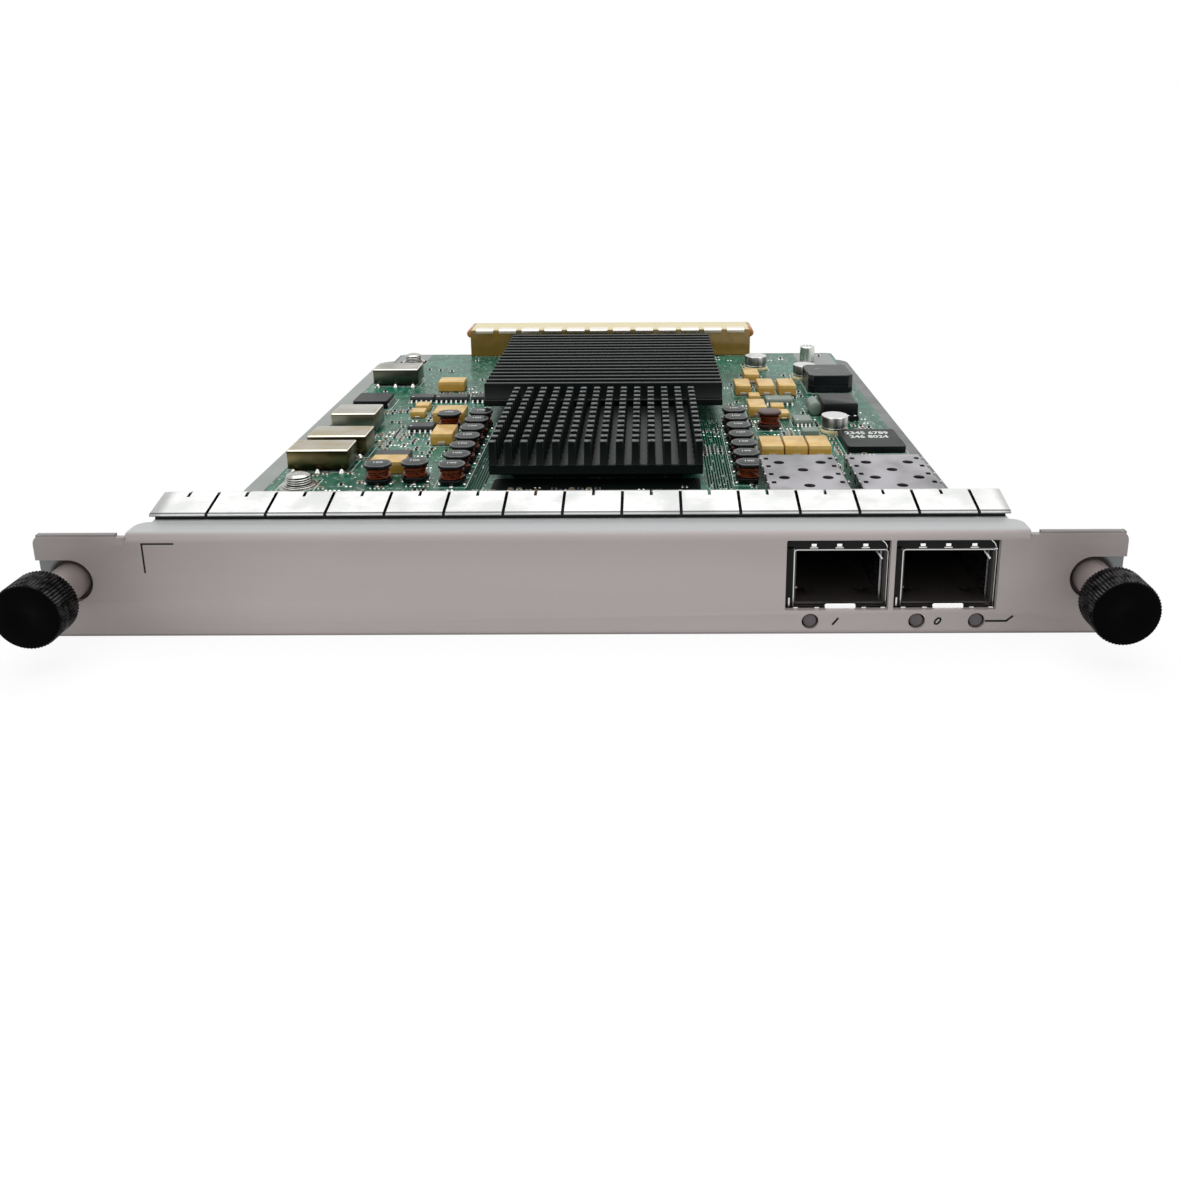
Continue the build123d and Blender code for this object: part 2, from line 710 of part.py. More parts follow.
# Backplane connector: a housing with rounded ends and a socket with a tongue at the rear
housing_rear = face_y + card_depth
housing_front = housing_rear - housing_depth
housing_x, housing_width = between(housing_insets)
with BuildPart() as housing:
    with BuildSketch(Plane.XZ.offset(-housing_front)):
        with Locations((housing_x, board_top + housing_height / 2)):
            Rectangle(housing_width, housing_height)
        with Locations((housing_x, board_top + housing_height - 2 * housing_end_bump)):
            Rectangle(housing_width + 2 * housing_end_bump, 2 * housing_end_bump)
    extrude(amount=-housing_depth)
    with BuildSketch(Plane.XZ.offset(-housing_rear)):
        with Locations((housing_x, board_top + housing_height / 2)):
            Rectangle(housing_width - 2 * socket_wall, socket_height)
            Rectangle(housing_width - 4 * socket_wall, tongue_height, mode=Mode.SUBTRACT)
    extrude(amount=socket_depth, mode=Mode.SUBTRACT)
housing.part.label = "backplane_housing"
export_step(housing.part, "parts/backplane_housing.step")

# Shield tabs over the housing's top front edge
shield_count = int((housing_width - shield_width) / shield_pitch) + 1
shield_row = (shield_count - 1) * shield_pitch + shield_width
with BuildPart() as shields:
    with BuildSketch(Plane.YZ.offset(housing_x - shield_row / 2)):
        with BuildLine():
            Polyline(
                (housing_front + shield_depth, board_top + housing_height),
                (housing_front + shield_depth, board_top + housing_height + shield_sheet),
                (housing_front - shield_sheet, board_top + housing_height + shield_sheet),
                (housing_front - shield_sheet, board_top + housing_height - shield_drop),
                (housing_front, board_top + housing_height - shield_drop),
                (housing_front, board_top + housing_height),
                close=True,
            )
        make_face()
    extrude(amount=shield_width)
    first_shield = shields.part
    for i in range(1, shield_count):
        add(Pos(i * shield_pitch, 0, 0) * first_shield)
shields.part.label = "backplane_shields"
export_step(shields.part, "parts/backplane_shields.step")

# Shielded power modules: a can with folded top edges on a smaller foot
for name, place in module_places.items():
    with BuildPart() as can:
        board_block(place, board_top + module_foot, module_top - module_foot)
        top_edges = can.faces().sort_by(Axis.Z)[-1].edges().filter_by(Axis.X)
        chamfer(top_edges, length=module_bend_radius)
    can.part.label = name
    export_step(can.part, f"parts/{name}.step")

with BuildPart() as module_feet:
    for x, front, width, depth in module_places.values():
        foot_width = width - 2 * module_foot_inset
        foot_depth = depth - 2 * module_foot_inset
        board_block((x, front + module_foot_inset, foot_width, foot_depth), board_top, module_foot)
module_feet.part.label = "power_module_feet"
export_step(module_feet.part, "parts/power_module_feet.step")

# Larger flat chips
for name, place, thickness in (
    ("memory_chip_left", left_chip, left_chip_thickness),
    ("line_chip_right", right_chip, right_chip_thickness),
):
    with BuildPart() as flat_chip:
        board_block(place, board_top + chip_standoff, thickness - chip_standoff)
        chamfer(flat_chip.edges().filter_by(Axis.Z), length=chip_chamfer)
    flat_chip.part.label = name
    export_step(flat_chip.part, f"parts/{name}.step")

# Small flat-pack chips
with BuildPart() as flat_packs:
    for place in small_chips:
        board_block(place, board_top + chip_standoff, small_chip_thickness - chip_standoff)
flat_packs.part.label = "small_chips"
export_step(flat_packs.part, "parts/small_chips.step")

# Drum inductors: ferrite drums, and the copper wound round their waists
inductor_groups = {
    name: [(board_x(x), face_y + first + i * pitch) for i in range(column_count)]
    for name, (x, first, pitch) in inductor_columns.items()
}
inductor_groups["inductors_single"] = [(board_x(x), face_y + depth) for x, depth in single_inductors]
for name, places in inductor_groups.items():
    with BuildPart() as drums:
        with BuildSketch(Plane.XY.offset(board_top)):
            with Locations(*places):
                RegularPolygon(drum_diameter / 2, drum_sides)
        extrude(amount=drum_flange)
        with BuildSketch(Plane.XY.offset(board_top + drum_flange)):
            with Locations(*places):
                RegularPolygon(winding_diameter / 2, drum_sides)
        extrude(amount=drum_height - 2 * drum_flange)
        with BuildSketch(Plane.XY.offset(board_top + drum_height - drum_flange)):
            with Locations(*places):
                RegularPolygon(drum_diameter / 2, drum_sides)
        extrude(amount=drum_flange)
    drums.part.label = name
    export_step(drums.part, f"parts/{name}.step")

# Moulded tantalum capacitors
for name, places, height in (
    ("tantalums_left", left_tantalums, tantalum_height),
    ("tantalums_right", right_tantalums, tantalum_height),
    ("tantalums_small", small_tantalums, small_tantalum_height),
):
    with BuildPart() as tantalums:
        for place in places:
            board_block(place, board_top, height)
    tantalums.part.label = name
    export_step(tantalums.part, f"parts/{name}.step")

# Electrolytic capacitors: a plastic base with cut corners under a round can
can_axes = [(board_x(x), face_y + depth) for x, depth in can_places]
with BuildPart() as can_bases:
    with BuildSketch(Plane.XY.offset(board_top)) as can_base_outline:
        with Locations(*can_axes):
            Rectangle(can_base, can_base)
        chamfer(can_base_outline.vertices(), length=can_base_chamfer)
    extrude(amount=can_base_height)
can_bases.part.label = "electrolytic_bases"
export_step(can_bases.part, "parts/electrolytic_bases.step")

with BuildPart() as cans:
    with BuildSketch(Plane.XY.offset(board_top + can_base_height)):
        with Locations(*can_axes):
            RegularPolygon(can_diameter / 2, round_sides)
    extrude(amount=can_height)
cans.part.label = "electrolytic_cans"
export_step(cans.part, "parts/electrolytic_cans.step")

# Square power choke with notched corners
with BuildPart() as power_choke:
    board_block(choke, board_top, choke_height)
    chamfer(power_choke.edges().filter_by(Axis.Z), length=choke_notch)
power_choke.part.label = "power_choke"
export_step(power_choke.part, "parts/power_choke.step")

# Transformer: a tall core between two low wings
with BuildPart() as transformer_block:
    board_block(transformer, board_top, transformer_height)
    x, front, width, depth = transformer
    winged = (x, front - transformer_wing, width, depth + 2 * transformer_wing)
    board_block(winged, board_top, transformer_wing_height)
transformer_block.part.label = "transformer"
export_step(transformer_block.part, "parts/transformer.step")
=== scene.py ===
import math

import bmesh
import bpy
import numpy as np
from bpy.props import FloatProperty, FloatVectorProperty, IntProperty, PointerProperty
from mathutils import Matrix, Vector


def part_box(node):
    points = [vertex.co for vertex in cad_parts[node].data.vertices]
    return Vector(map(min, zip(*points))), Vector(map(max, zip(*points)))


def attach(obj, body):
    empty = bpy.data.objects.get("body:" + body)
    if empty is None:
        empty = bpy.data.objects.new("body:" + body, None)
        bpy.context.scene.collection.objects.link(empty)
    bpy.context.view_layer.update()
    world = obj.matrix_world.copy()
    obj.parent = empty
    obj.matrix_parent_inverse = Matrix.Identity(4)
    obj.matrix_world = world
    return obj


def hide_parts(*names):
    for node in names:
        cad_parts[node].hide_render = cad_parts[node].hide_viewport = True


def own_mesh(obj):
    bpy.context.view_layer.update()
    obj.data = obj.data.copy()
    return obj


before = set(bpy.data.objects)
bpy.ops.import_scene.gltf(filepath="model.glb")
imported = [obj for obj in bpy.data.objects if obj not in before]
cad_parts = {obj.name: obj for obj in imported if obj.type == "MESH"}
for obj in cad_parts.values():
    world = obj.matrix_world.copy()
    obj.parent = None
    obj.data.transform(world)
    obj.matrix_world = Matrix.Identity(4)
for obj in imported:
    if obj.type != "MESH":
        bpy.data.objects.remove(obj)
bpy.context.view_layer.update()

bl_info = {
    "name": "Interface Card",
    "version": (1, 0, 0),
    "blender": (4, 5, 0),
    "location": "3D View > Sidebar > Card",
    "description": "Builds an interface card's visible pieces, finishes and studio round its CAD frame",
    "category": "Object",
}

MM = 0.001
QUARTERS = np.array([(1, 1), (-1, 1), (-1, -1), (1, -1)], float)
WIRE_SIDES = 6


def box_mm(node):
    """Lowest and highest corner of a CAD node, in millimetres."""
    low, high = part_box(node)
    return np.array(low) / MM, np.array(high) / MM


def block_mm(node):
    """Lowest corner, highest corner, middle and half size of a CAD node, in millimetres."""
    low, high = box_mm(node)
    return low, high, (low + high) / 2, (high - low) / 2


def solids(node):
    """Middles and sizes (mm) of a CAD node's separate solids, from left to right and front to back.

    Points at the same place are one, every edge gives both its ends the lower label, and that is
    repeated until no label changes; each label is then one solid.
    """
    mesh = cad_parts[node].data
    points = np.empty(len(mesh.vertices) * 3)
    mesh.vertices.foreach_get("co", points)
    ends = np.empty(len(mesh.edges) * 2, int)
    mesh.edges.foreach_get("vertices", ends)
    microns = np.round(points.reshape(-1, 3) / MM * 1000).astype(int)
    places, which = np.unique(microns, axis=0, return_inverse=True)
    ends = which.reshape(-1)[ends.reshape(-1, 2)]
    labels = np.arange(len(places))
    while True:
        lower = labels.copy()
        np.minimum.at(lower, ends[:, 0], labels[ends[:, 1]])
        np.minimum.at(lower, ends[:, 1], labels[ends[:, 0]])
        if np.array_equal(lower, labels):
            break
        labels = lower
    order = np.argsort(labels, kind="stable")
    starts = np.flatnonzero(np.r_[True, np.diff(labels[order]) > 0])
    low = np.minimum.reduceat(places[order], starts) / 1000
    high = np.maximum.reduceat(places[order], starts) / 1000
    middles, sizes = (low + high) / 2, high - low
    order = np.lexsort((middles[:, 1], np.round(middles[:, 0])))
    return middles[order], sizes[order]


PANEL_LOW, PANEL_HIGH = box_mm("front_panel")
BOARD_LOW, BOARD_HIGH = box_mm("circuit_board")
FACE = PANEL_LOW[1]
BOARD = BOARD_HIGH[2]
MODULE_TOP = box_mm("power_module_front")[1][2]
SCREW_X, SCREW_Z = 76.5, 9.0  # axis of each thumbscrew, and middle of the notch round it
PORT_HALF, PORT_Z = (7.75, 5.65), 9.45  # the panel's openings for transceivers
LIGHT_HOLE = 1.28  # radius of the panel's light holes
FLANGE_HALF = 67.3  # half length of the panel's top flange
CAGE_HALF, CAGE_TOP = 7.1, BOARD + 9.8  # a transceiver cage across, and its roof
CRYSTAL, OSCILLATOR = (51.9, FACE + 111.4), (48.2, FACE + 96.2)  # cans with no CAD node


def on_board(points):
    """Points (x, y) put on the board's upper face."""
    return np.c_[points[:, :2], np.full(len(points), BOARD)]


# Settings that a user would change

class CardSettings(bpy.types.PropertyGroup):
    panel_colour: FloatVectorProperty(
        name="Panel paint", description="Colour of the painted front panel",
        subtype="COLOR", size=3, min=0, max=1, default=(0.455, 0.405, 0.392))
    board_colour: FloatVectorProperty(
        name="Board green", description="Colour of the solder resist",
        subtype="COLOR", size=3, min=0, max=1, default=(0.006, 0.085, 0.050))
    tantalum_colour: FloatVectorProperty(
        name="Tantalum resin", description="Colour of the moulded tantalum capacitors",
        subtype="COLOR", size=3, min=0, max=1, default=(0.62, 0.34, 0.065))
    housing_colour: FloatVectorProperty(
        name="Connector plastic", description="Colour of the backplane connector",
        subtype="COLOR", size=3, min=0, max=1, default=(0.17, 0.120, 0.022))
    panel_sheet: FloatProperty(
        name="Panel sheet", description="Thickness of the front panel's sheet",
        subtype="DISTANCE", unit="LENGTH", default=1.0 * MM)
    bend_radius: FloatProperty(
        name="Bend radius", description="Outside radius between the panel's face and its flange",
        subtype="DISTANCE", unit="LENGTH", default=1.4 * MM)
    finger_pitch: FloatProperty(
        name="Finger pitch", description="Distance between the slots of the spring-finger strip",
        subtype="DISTANCE", unit="LENGTH", default=9.1 * MM)
    knob_flutes: IntProperty(
        name="Knob flutes", description="Flutes round each thumbscrew knob", default=60, min=8)
    thread_pitch: FloatProperty(
        name="Thread pitch", description="Pitch of the thumbscrews' thread",
        subtype="DISTANCE", unit="LENGTH", default=0.5 * MM)
    small_part_seed: IntProperty(
        name="Small part seed", description="Chooses the spread of the smallest parts", default=7)


# Meshes

class Shell:
    """Patches of surface gathered for one piece, in millimetres."""

    def __init__(self):
        self.points, self.faces, self.finishes, self.total = [], [], [], 0

    def add(self, points, groups, finish=0):
        """Append points, and groups of faces given as arrays of indices into those points."""
        points = np.asarray(points, float).reshape(-1, 3)
        for group in groups:
            group = np.asarray(group, int)
            self.faces.extend((group + self.total).tolist())
            self.finishes.append(np.full(len(group), finish))
        self.points.append(points)
        self.total += len(points)

    def take(self, mesh, finish=0, move=None):
        """Append a Blender mesh in metres, after move has been applied to its points in millimetres."""
        points = np.empty(len(mesh.vertices) * 3)
        mesh.vertices.foreach_get("co", points)
        points = points.reshape(-1, 3) / MM
        if move is not None:
            points = move(points)
        for count in sorted({p.loop_total for p in mesh.polygons}):
            group = [p.vertices[:] for p in mesh.polygons if p.loop_total == count]
            self.faces.extend((np.array(group) + self.total).tolist())
            self.finishes.append(np.full(len(group), finish))
        self.points.append(points)
        self.total += len(points)


def piece(name, shell, finishes, replaced=(), body="card", sharp=38.0):
    """Make one Blender object from a shell and the names of its finishes, riding on a body in place
    of CAD nodes; faces that meet at more than sharp degrees get a hard edge."""
    mesh = bpy.data.meshes.new(name)
    mesh.from_pydata((np.concatenate(shell.points) * MM).tolist(), [], shell.faces)
    mesh.polygons.foreach_set("material_index", np.concatenate(shell.finishes).astype(np.int32))
    mesh.polygons.foreach_set("use_smooth", np.ones(len(mesh.polygons), bool))
    for each in finishes:
        mesh.materials.append(finish(each))
    mesh.update()
    mesh.set_sharp_from_angle(angle=math.radians(sharp))
    made = bpy.data.objects.new(name, mesh)
    bpy.context.scene.collection.objects.link(made)
    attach(made, body)
    if replaced:
        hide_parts(*replaced)
    return made


def loft(shell, grid, finish=0, caps=(True, True)):
    """Skin over closed rings: grid is (copies, rings, around, 3), each ring is joined to the next by
    quads, and the first and last are closed by one face each. Seen from the end of the travel the
    rings run anticlockwise, so that the faces point outwards."""
    copies, rings, around, _ = grid.shape
    first = (np.arange(rings - 1) * around)[:, None]
    here = np.arange(around)[None, :]
    after = (here + 1) % around
    quads = np.stack([first + here, first + after, first + around + after, first + around + here], -1)
    steps = (np.arange(copies) * rings * around)[:, None, None]
    groups = [(quads.reshape(1, -1, 4) + steps).reshape(-1, 4)]
    if caps[0]:
        groups.append(np.arange(around)[None, ::-1] + steps[:, :, 0])
    if caps[1]:
        groups.append(np.arange(around)[None] + (rings - 1) * around + steps[:, :, 0])
    shell.add(grid, groups, finish)


def facing(points, axis):
    """Turn points drawn about z so that their z runs along y (x stays) or along x (y becomes z)."""
    if axis == "y":
        return np.stack([points[..., 0], points[..., 2], -points[..., 1]], -1)
    if axis == "x":
        return np.stack([points[..., 2], points[..., 0], points[..., 1]], -1)
    return points


def stack(shell, places, half, corner, rings, steps=1, finish=0, caps=(True, True), turn=0.0, axis="z"):
    """Stacked rounded rectangles. Ring (height, growth) is the rectangle of these half sides grown by
    that much, with quarter arcs of radius corner + growth; heights are above each place."""
    places = np.atleast_2d(np.asarray(places, float))
    half = np.broadcast_to(np.asarray(half, float), (len(places), 2))
    rings = np.asarray(rings, float)
    rings = rings if rings.ndim == 3 else rings[None]
    height, growth = rings[..., 0], rings[..., 1]
    angles = np.radians(90 * np.arange(4)[:, None] + 90 * np.arange(steps + 1) / max(steps, 1)).ravel()
    signs = np.repeat(QUARTERS, steps + 1, axis=0)
    ways = np.stack([np.cos(angles), np.sin(angles)], -1)
    radius = np.maximum(corner + growth, 0.02) if steps else np.zeros_like(growth)
    middle = half[:, None, :] + growth[..., None] - radius[..., None]
    flat = signs * middle[:, :, None, :] + radius[..., None, None] * ways
    lean = np.radians(np.broadcast_to(np.asarray(turn, float), (len(places),)))[:, None, None]
    x, y = flat[..., 0], flat[..., 1]
    flat = np.stack([x * np.cos(lean) - y * np.sin(lean), x * np.sin(lean) + y * np.cos(lean)], -1)
    up = np.broadcast_to(height[..., None, None], flat.shape[:3] + (1,))
    grid = facing(np.concatenate([flat, up], -1), axis) + places[:, None, None, :]
    loft(shell, grid, finish, caps)


def slab(shell, places, half, corner, thick, steps=1, finish=0, axis="z"):
    """A straight slab of this thickness on a rounded rectangle."""
    stack(shell, places, half, corner, [(0, 0), (thick, 0)], steps, finish, axis=axis)


def turned(shell, places, rings, sides=24, finish=0, caps=(True, True), axis="z", shape=1.0):
    """A profile turned round an axis: ring (height, radius), with shape, an array of (rings, sides),
    multiplying the radius round the turn."""
    places = np.atleast_2d(np.asarray(places, float))
    rings = np.asarray(rings, float)
    angles = np.arange(sides) * 2 * math.pi / sides
    radius = rings[:, 1:2] * np.broadcast_to(shape, (len(rings), sides))
    height = np.broadcast_to(rings[:, :1], radius.shape)
    ring = facing(np.stack([radius * np.cos(angles), radius * np.sin(angles), height], -1), axis)
    loft(shell, ring[None] + places[:, None, None, :], finish, caps)


def strips(shell, starts, outs, path, width, thick, finish=0):
    """Bent flat strips. The path (outwards, up) is carried from each start in its outward direction,
    and a rectangle of this width and thickness stands square to the path all along it."""
    starts = np.atleast_2d(np.asarray(starts, float))
    outs = np.broadcast_to(np.atleast_2d(np.asarray(outs, float)), (len(starts), 2))
    path = np.asarray(path, float)
    along = np.gradient(path, axis=0)
    along /= np.linalg.norm(along, axis=1, keepdims=True)
    normal = np.stack([-along[:, 1], along[:, 0]], -1)
    widths = np.broadcast_to(np.asarray(width, float), (len(path),))[:, None] / 2
    side = np.array([1, 1, -1, -1]) * widths
    lift = np.array([-1, 1, 1, -1]) * thick / 2
    out = path[:, :1] + normal[:, :1] * lift
    up = path[:, 1:] + normal[:, 1:] * lift
    x = outs[:, 0, None, None] * out - outs[:, 1, None, None] * side
    y = outs[:, 1, None, None] * out + outs[:, 0, None, None] * side
    grid = np.stack([x, y, np.broadcast_to(up, x.shape)], -1) + starts[:, None, None, :]
    loft(shell, grid, finish)


def coil(shell, places, radius, wire, turns, length, finish=0, around=WIRE_SIDES, per_turn=20, axis="z",
         start=0.0):
    """A wound wire: its middle runs round a circle of this radius while it climbs the length, and a
    circle of the wire's size stands square to it."""
    places = np.atleast_2d(np.asarray(places, float))
    count = int(turns * per_turn) + 1
    angle = np.linspace(0, 2 * math.pi * turns, count)[:, None] + start
    rise = np.linspace(0, length, count)[:, None]
    ring = (np.arange(around) * 2 * math.pi / around)[None, :]
    reach = radius + wire / 2 * np.sin(ring)
    grid = np.stack(
        [reach * np.cos(angle), reach * np.sin(angle), rise + wire / 2 * np.cos(ring) + 0 * angle], -1)
    loft(shell, facing(grid, axis)[None] + places[:, None, None, :], finish)


def wire(shell, points, thick, finish=0):
    """A round wire along one line of points: circles stand square to the direction between neighbours."""
    points = np.asarray(points, float)
    along = np.gradient(points, axis=0)
    along /= np.linalg.norm(along, axis=1, keepdims=True)
    across = np.cross(along, (0.0, 0.0, 1.0))
    across /= np.maximum(np.linalg.norm(across, axis=1, keepdims=True), 1e-6)
    above = np.cross(across, along)
    ring = np.arange(WIRE_SIDES) * 2 * math.pi / WIRE_SIDES
    grid = points[:, None] + thick / 2 * (
        above[:, None] * np.cos(ring)[None, :, None] + across[:, None] * -np.sin(ring)[None, :, None])
    loft(shell, grid[None], finish)


def arc(middle, radius, start, end, count=12):
    """Points on an arc, angles in degrees."""
    angles = np.radians(np.linspace(start, end, count))
    return np.stack([middle[0] + radius * np.cos(angles), middle[1] + radius * np.sin(angles)], -1)


def oblong(middle, half, corner=0.3, count=4):
    """Outline of a rounded rectangle; its direction makes no difference to a hole."""
    x, y = middle
    a, b = half[0] - corner, half[1] - corner
    return np.concatenate([
        arc((x + a, y + b), corner, 0, 90, count), arc((x - a, y + b), corner, 90, 180, count),
        arc((x - a, y - b), corner, 180, 270, count), arc((x + a, y - b), corner, 270, 360, count)])


def bent_line(corners, radius, steps=6):
    """A bent sheet's line: straight runs joined by arcs of one radius. Returns the distances along it
    and the points there, and the distances at which a sheet has to be creased."""
    corners = [Vector(c) for c in corners]
    points, creases = [corners[0]], []
    for before, here, after in zip(corners, corners[1:], corners[2:]):
        into, out = (here - before).normalized(), (after - here).normalized()
        turn = into.angle_signed(out)
        cut = radius * math.tan(abs(turn) / 2)
        start = here - into * cut
        side = Vector((-into.y, into.x)) * (-1 if turn > 0 else 1)
        centre = start + side * radius
        first = len(points)
        for step in range(steps + 1):
            angle = abs(turn) * step / steps * (-1 if turn > 0 else 1)
            arm = start - centre
            points.append(centre + Vector((
                arm.x * math.cos(angle) - arm.y * math.sin(angle),
                arm.x * math.sin(angle) + arm.y * math.cos(angle))))
        creases.append((first, first + steps))
    points.append(corners[-1])
    line = np.array([tuple(p) for p in points])
    distance = np.r_[0, np.cumsum(np.linalg.norm(np.diff(line, axis=0), axis=1))]
    cuts = []
    for first, last in creases:
        cuts += [distance[first] - 0.05, *distance[first:last + 1], distance[last] + 0.05]
    return distance, line, cuts


def sheet_metal(loops, cuts, place, thick, edge, segments=2):
    """A folded sheet as a Blender mesh in metres. The flat outline, with its holes, is filled, cut at
    the creases, and each point (across, along) goes where place says; Solidify gives the sheet its
    thickness inwards and Bevel its small round edges."""
    curve = bpy.data.curves.new("outline", "CURVE")
    curve.dimensions = "2D"
    curve.fill_mode = "BOTH"
    for loop in loops:
        loop = np.asarray(loop, float)
        spline = curve.splines.new("POLY")
        spline.points.add(len(loop) - 1)
        spline.points.foreach_set("co", np.c_[loop, np.zeros(len(loop)), np.ones(len(loop))].ravel())
        spline.use_cyclic_u = True
    holder = bpy.data.objects.new("outline", curve)
    bpy.context.scene.collection.objects.link(holder)
    flat = bpy.data.meshes.new_from_object(holder)
    bpy.data.objects.remove(holder)
    bpy.data.curves.remove(curve)
    work = bmesh.new()
    work.from_mesh(flat)
    bmesh.ops.remove_doubles(work, verts=work.verts, dist=1e-4)
    for cut in cuts:
        bmesh.ops.bisect_plane(
            work, geom=work.verts[:] + work.edges[:] + work.faces[:],
            plane_co=(0, cut, 0), plane_no=(0, 1, 0))
    for face in work.faces:
        if face.normal.z < 0:
            face.normal_flip()
    work.to_mesh(flat)
    work.free()
    points = np.empty(len(flat.vertices) * 3)
    flat.vertices.foreach_get("co", points)
    points = points.reshape(-1, 3)
    flat.vertices.foreach_set("co", (place(points[:, 0], points[:, 1]) * MM).ravel())
    flat.update()
    return firm(flat, thick, edge, segments)


def across_card(bent, x=0.0):
    """Where a flat pattern (depth, along) goes on a bent line that lies across the card at x."""
    distance, line, _ = bent
    return lambda depth, along: np.stack([
        x + np.interp(along, distance, line[:, 0]), depth, np.interp(along, distance, line[:, 1])], -1)


def firm(surface, thick, edge=0.0, segments=1):
    """Give a bent surface its sheet thickness inwards and small round edges; returns the new mesh."""
    holder = bpy.data.objects.new("sheet", surface)
    bpy.context.scene.collection.objects.link(holder)
    solid = holder.modifiers.new("sheet", "SOLIDIFY")
    solid.thickness = thick * MM
    solid.offset = -1
    if edge:
        bevel = holder.modifiers.new("edge", "BEVEL")
        bevel.width = edge * MM
        bevel.segments = segments
        bevel.limit_method = "ANGLE"
        bevel.angle_limit = math.radians(50)
    bpy.context.view_layer.update()
    made = bpy.data.meshes.new_from_object(holder.evaluated_get(bpy.context.evaluated_depsgraph_get()))
    bpy.data.objects.remove(holder)
    return made


def digits(shell, text, size, middle, finish=0, turn=0.0, front=False, thick=0.03, stretch=1.0,
           weight=0.012):
    """Plain numbers lying on a level surface, or standing on the panel's face where front is set."""
    curve = bpy.data.curves.new("digits", "FONT")
    curve.body = text
    curve.align_x, curve.align_y = "CENTER", "CENTER"
    curve.size = size * MM
    curve.extrude = thick / 2 * MM
    curve.resolution_u = 2
    curve.offset = weight * size * MM
    holder = bpy.data.objects.new("digits", curve)
    bpy.context.scene.collection.objects.link(holder)
    mesh = bpy.data.meshes.new_from_object(holder)
    bpy.data.objects.remove(holder)
    lean = math.radians(turn)

    def move(points):
        x, y = points[:, 0] * stretch, points[:, 1]
        a, b = x * math.cos(lean) - y * math.sin(lean), x * math.sin(lean) + y * math.cos(lean)
        flat = [a, -points[:, 2], b] if front else [a, b, points[:, 2]]
        return np.stack(flat, -1) + np.asarray(middle)

    shell.take(mesh, finish, move)


# Finishes

class Sum:
    """A shader socket; sums written with numbers and other sockets add Math nodes."""

    def __init__(self, finish, socket):
        self.finish, self.socket = finish, socket

    def math(self, operation, other=0.0, swapped=False):
        first, second = (other, self) if swapped else (self, other)
        return self.finish.node("ShaderNodeMath", {"operation": operation}, {0: first, 1: second})

    def __add__(self, other):
        return self.math("ADD", other)

    def __sub__(self, other):
        return self.math("SUBTRACT", other)

    def __rsub__(self, other):
        return self.math("SUBTRACT", other, True)

    def __mul__(self, other):
        return self.math("MULTIPLY", other)

    def __truediv__(self, other):
        return self.math("DIVIDE", other)

    def __gt__(self, other):
        return self.math("GREATER_THAN", other)

    def __lt__(self, other):
        return self.math("LESS_THAN", other)

    __radd__ = __add__
    __rmul__ = __mul__


class Finish:
    """A material under construction; every pattern is measured in millimetres on the piece."""

    def __init__(self, name):
        self.material = bpy.data.materials.new(name)
        self.material.use_nodes = True
        self.tree = self.material.node_tree
        self.shader = self.tree.nodes["Principled BSDF"]
        self.where = self.node("ShaderNodeTexCoord", {}, {}, "Object")

    def node(self, kind, settings, values, output=0):
        """Add a node: its settings first, then the numbers or links of its sockets."""
        made = self.tree.nodes.new(kind)
        for name, value in settings.items():
            if name == "stops":
                ramp = made.color_ramp
                for index, (place, colour) in enumerate(value):
                    stop = ramp.elements[index] if index < 2 else ramp.elements.new(place)
                    stop.position, stop.color = place, (*colour, 1)
            else:
                setattr(made, name, value)
        for name, value in values.items():
            if isinstance(value, Sum):
                self.tree.links.new(value.socket, made.inputs[name])
            else:
                made.inputs[name].default_value = value
        return Sum(self, made.outputs[output])

    def at(self, size, stretch=(1, 1, 1)):
        """Coordinates in units of size millimetres, with stretch for each axis."""
        scale = [1 / (size * MM * s) for s in stretch]
        return self.node("ShaderNodeMapping", {}, {"Vector": self.where, "Scale": scale})

    def noise(self, size, detail=2.0, stretch=(1, 1, 1)):
        values = {"Vector": self.at(size, stretch), "Scale": 1.0, "Detail": detail}
        return self.node("ShaderNodeTexNoise", {}, values)

    def cells(self, size, output="Distance"):
        """Square cells of this size: the distance from each one's middle, or its own colour."""
        return self.node(
            "ShaderNodeTexVoronoi", {"feature": "F1", "distance": "CHEBYCHEV"},
            {"Vector": self.at(size), "Scale": 1.0}, output)

    def axes(self):
        """The three coordinates in millimetres."""
        split = self.tree.nodes.new("ShaderNodeSeparateXYZ")
        self.tree.links.new(self.where.socket, split.inputs[0])
        return [Sum(self, socket) * (1 / MM) for socket in split.outputs]

    def blend(self, factor, first, second):
        """Mix two colours."""
        colours = [c if isinstance(c, Sum) else (*c, 1.0) for c in (first, second)]
        values = {0: factor, 6: colours[0], 7: colours[1]}
        return self.node("ShaderNodeMix", {"data_type": "RGBA"}, values, 2)

    def steps(self, factor, low, high):
        """A soft step of a number from 0 at low to 1 at high."""
        return self.node(
            "ShaderNodeMapRange", {"interpolation_type": "SMOOTHSTEP"},
            {"Value": factor, "From Min": low, "From Max": high})

    def bump(self, height, depth):
        return self.node("ShaderNodeBump", {}, {"Height": height, "Strength": 1.0, "Distance": depth * MM})

    def surface(self, **values):
        """Fill in the shader and return the material."""
        for name, value in values.items():
            socket = self.shader.inputs[name.replace("_", " ")]
            if isinstance(value, Sum):
                self.tree.links.new(value.socket, socket)
            else:
                socket.default_value = (*value, 1.0) if isinstance(value, tuple) else value
        return self.material


def shade(colour, factor):
    return tuple(min(1.0, c * factor) for c in colour)


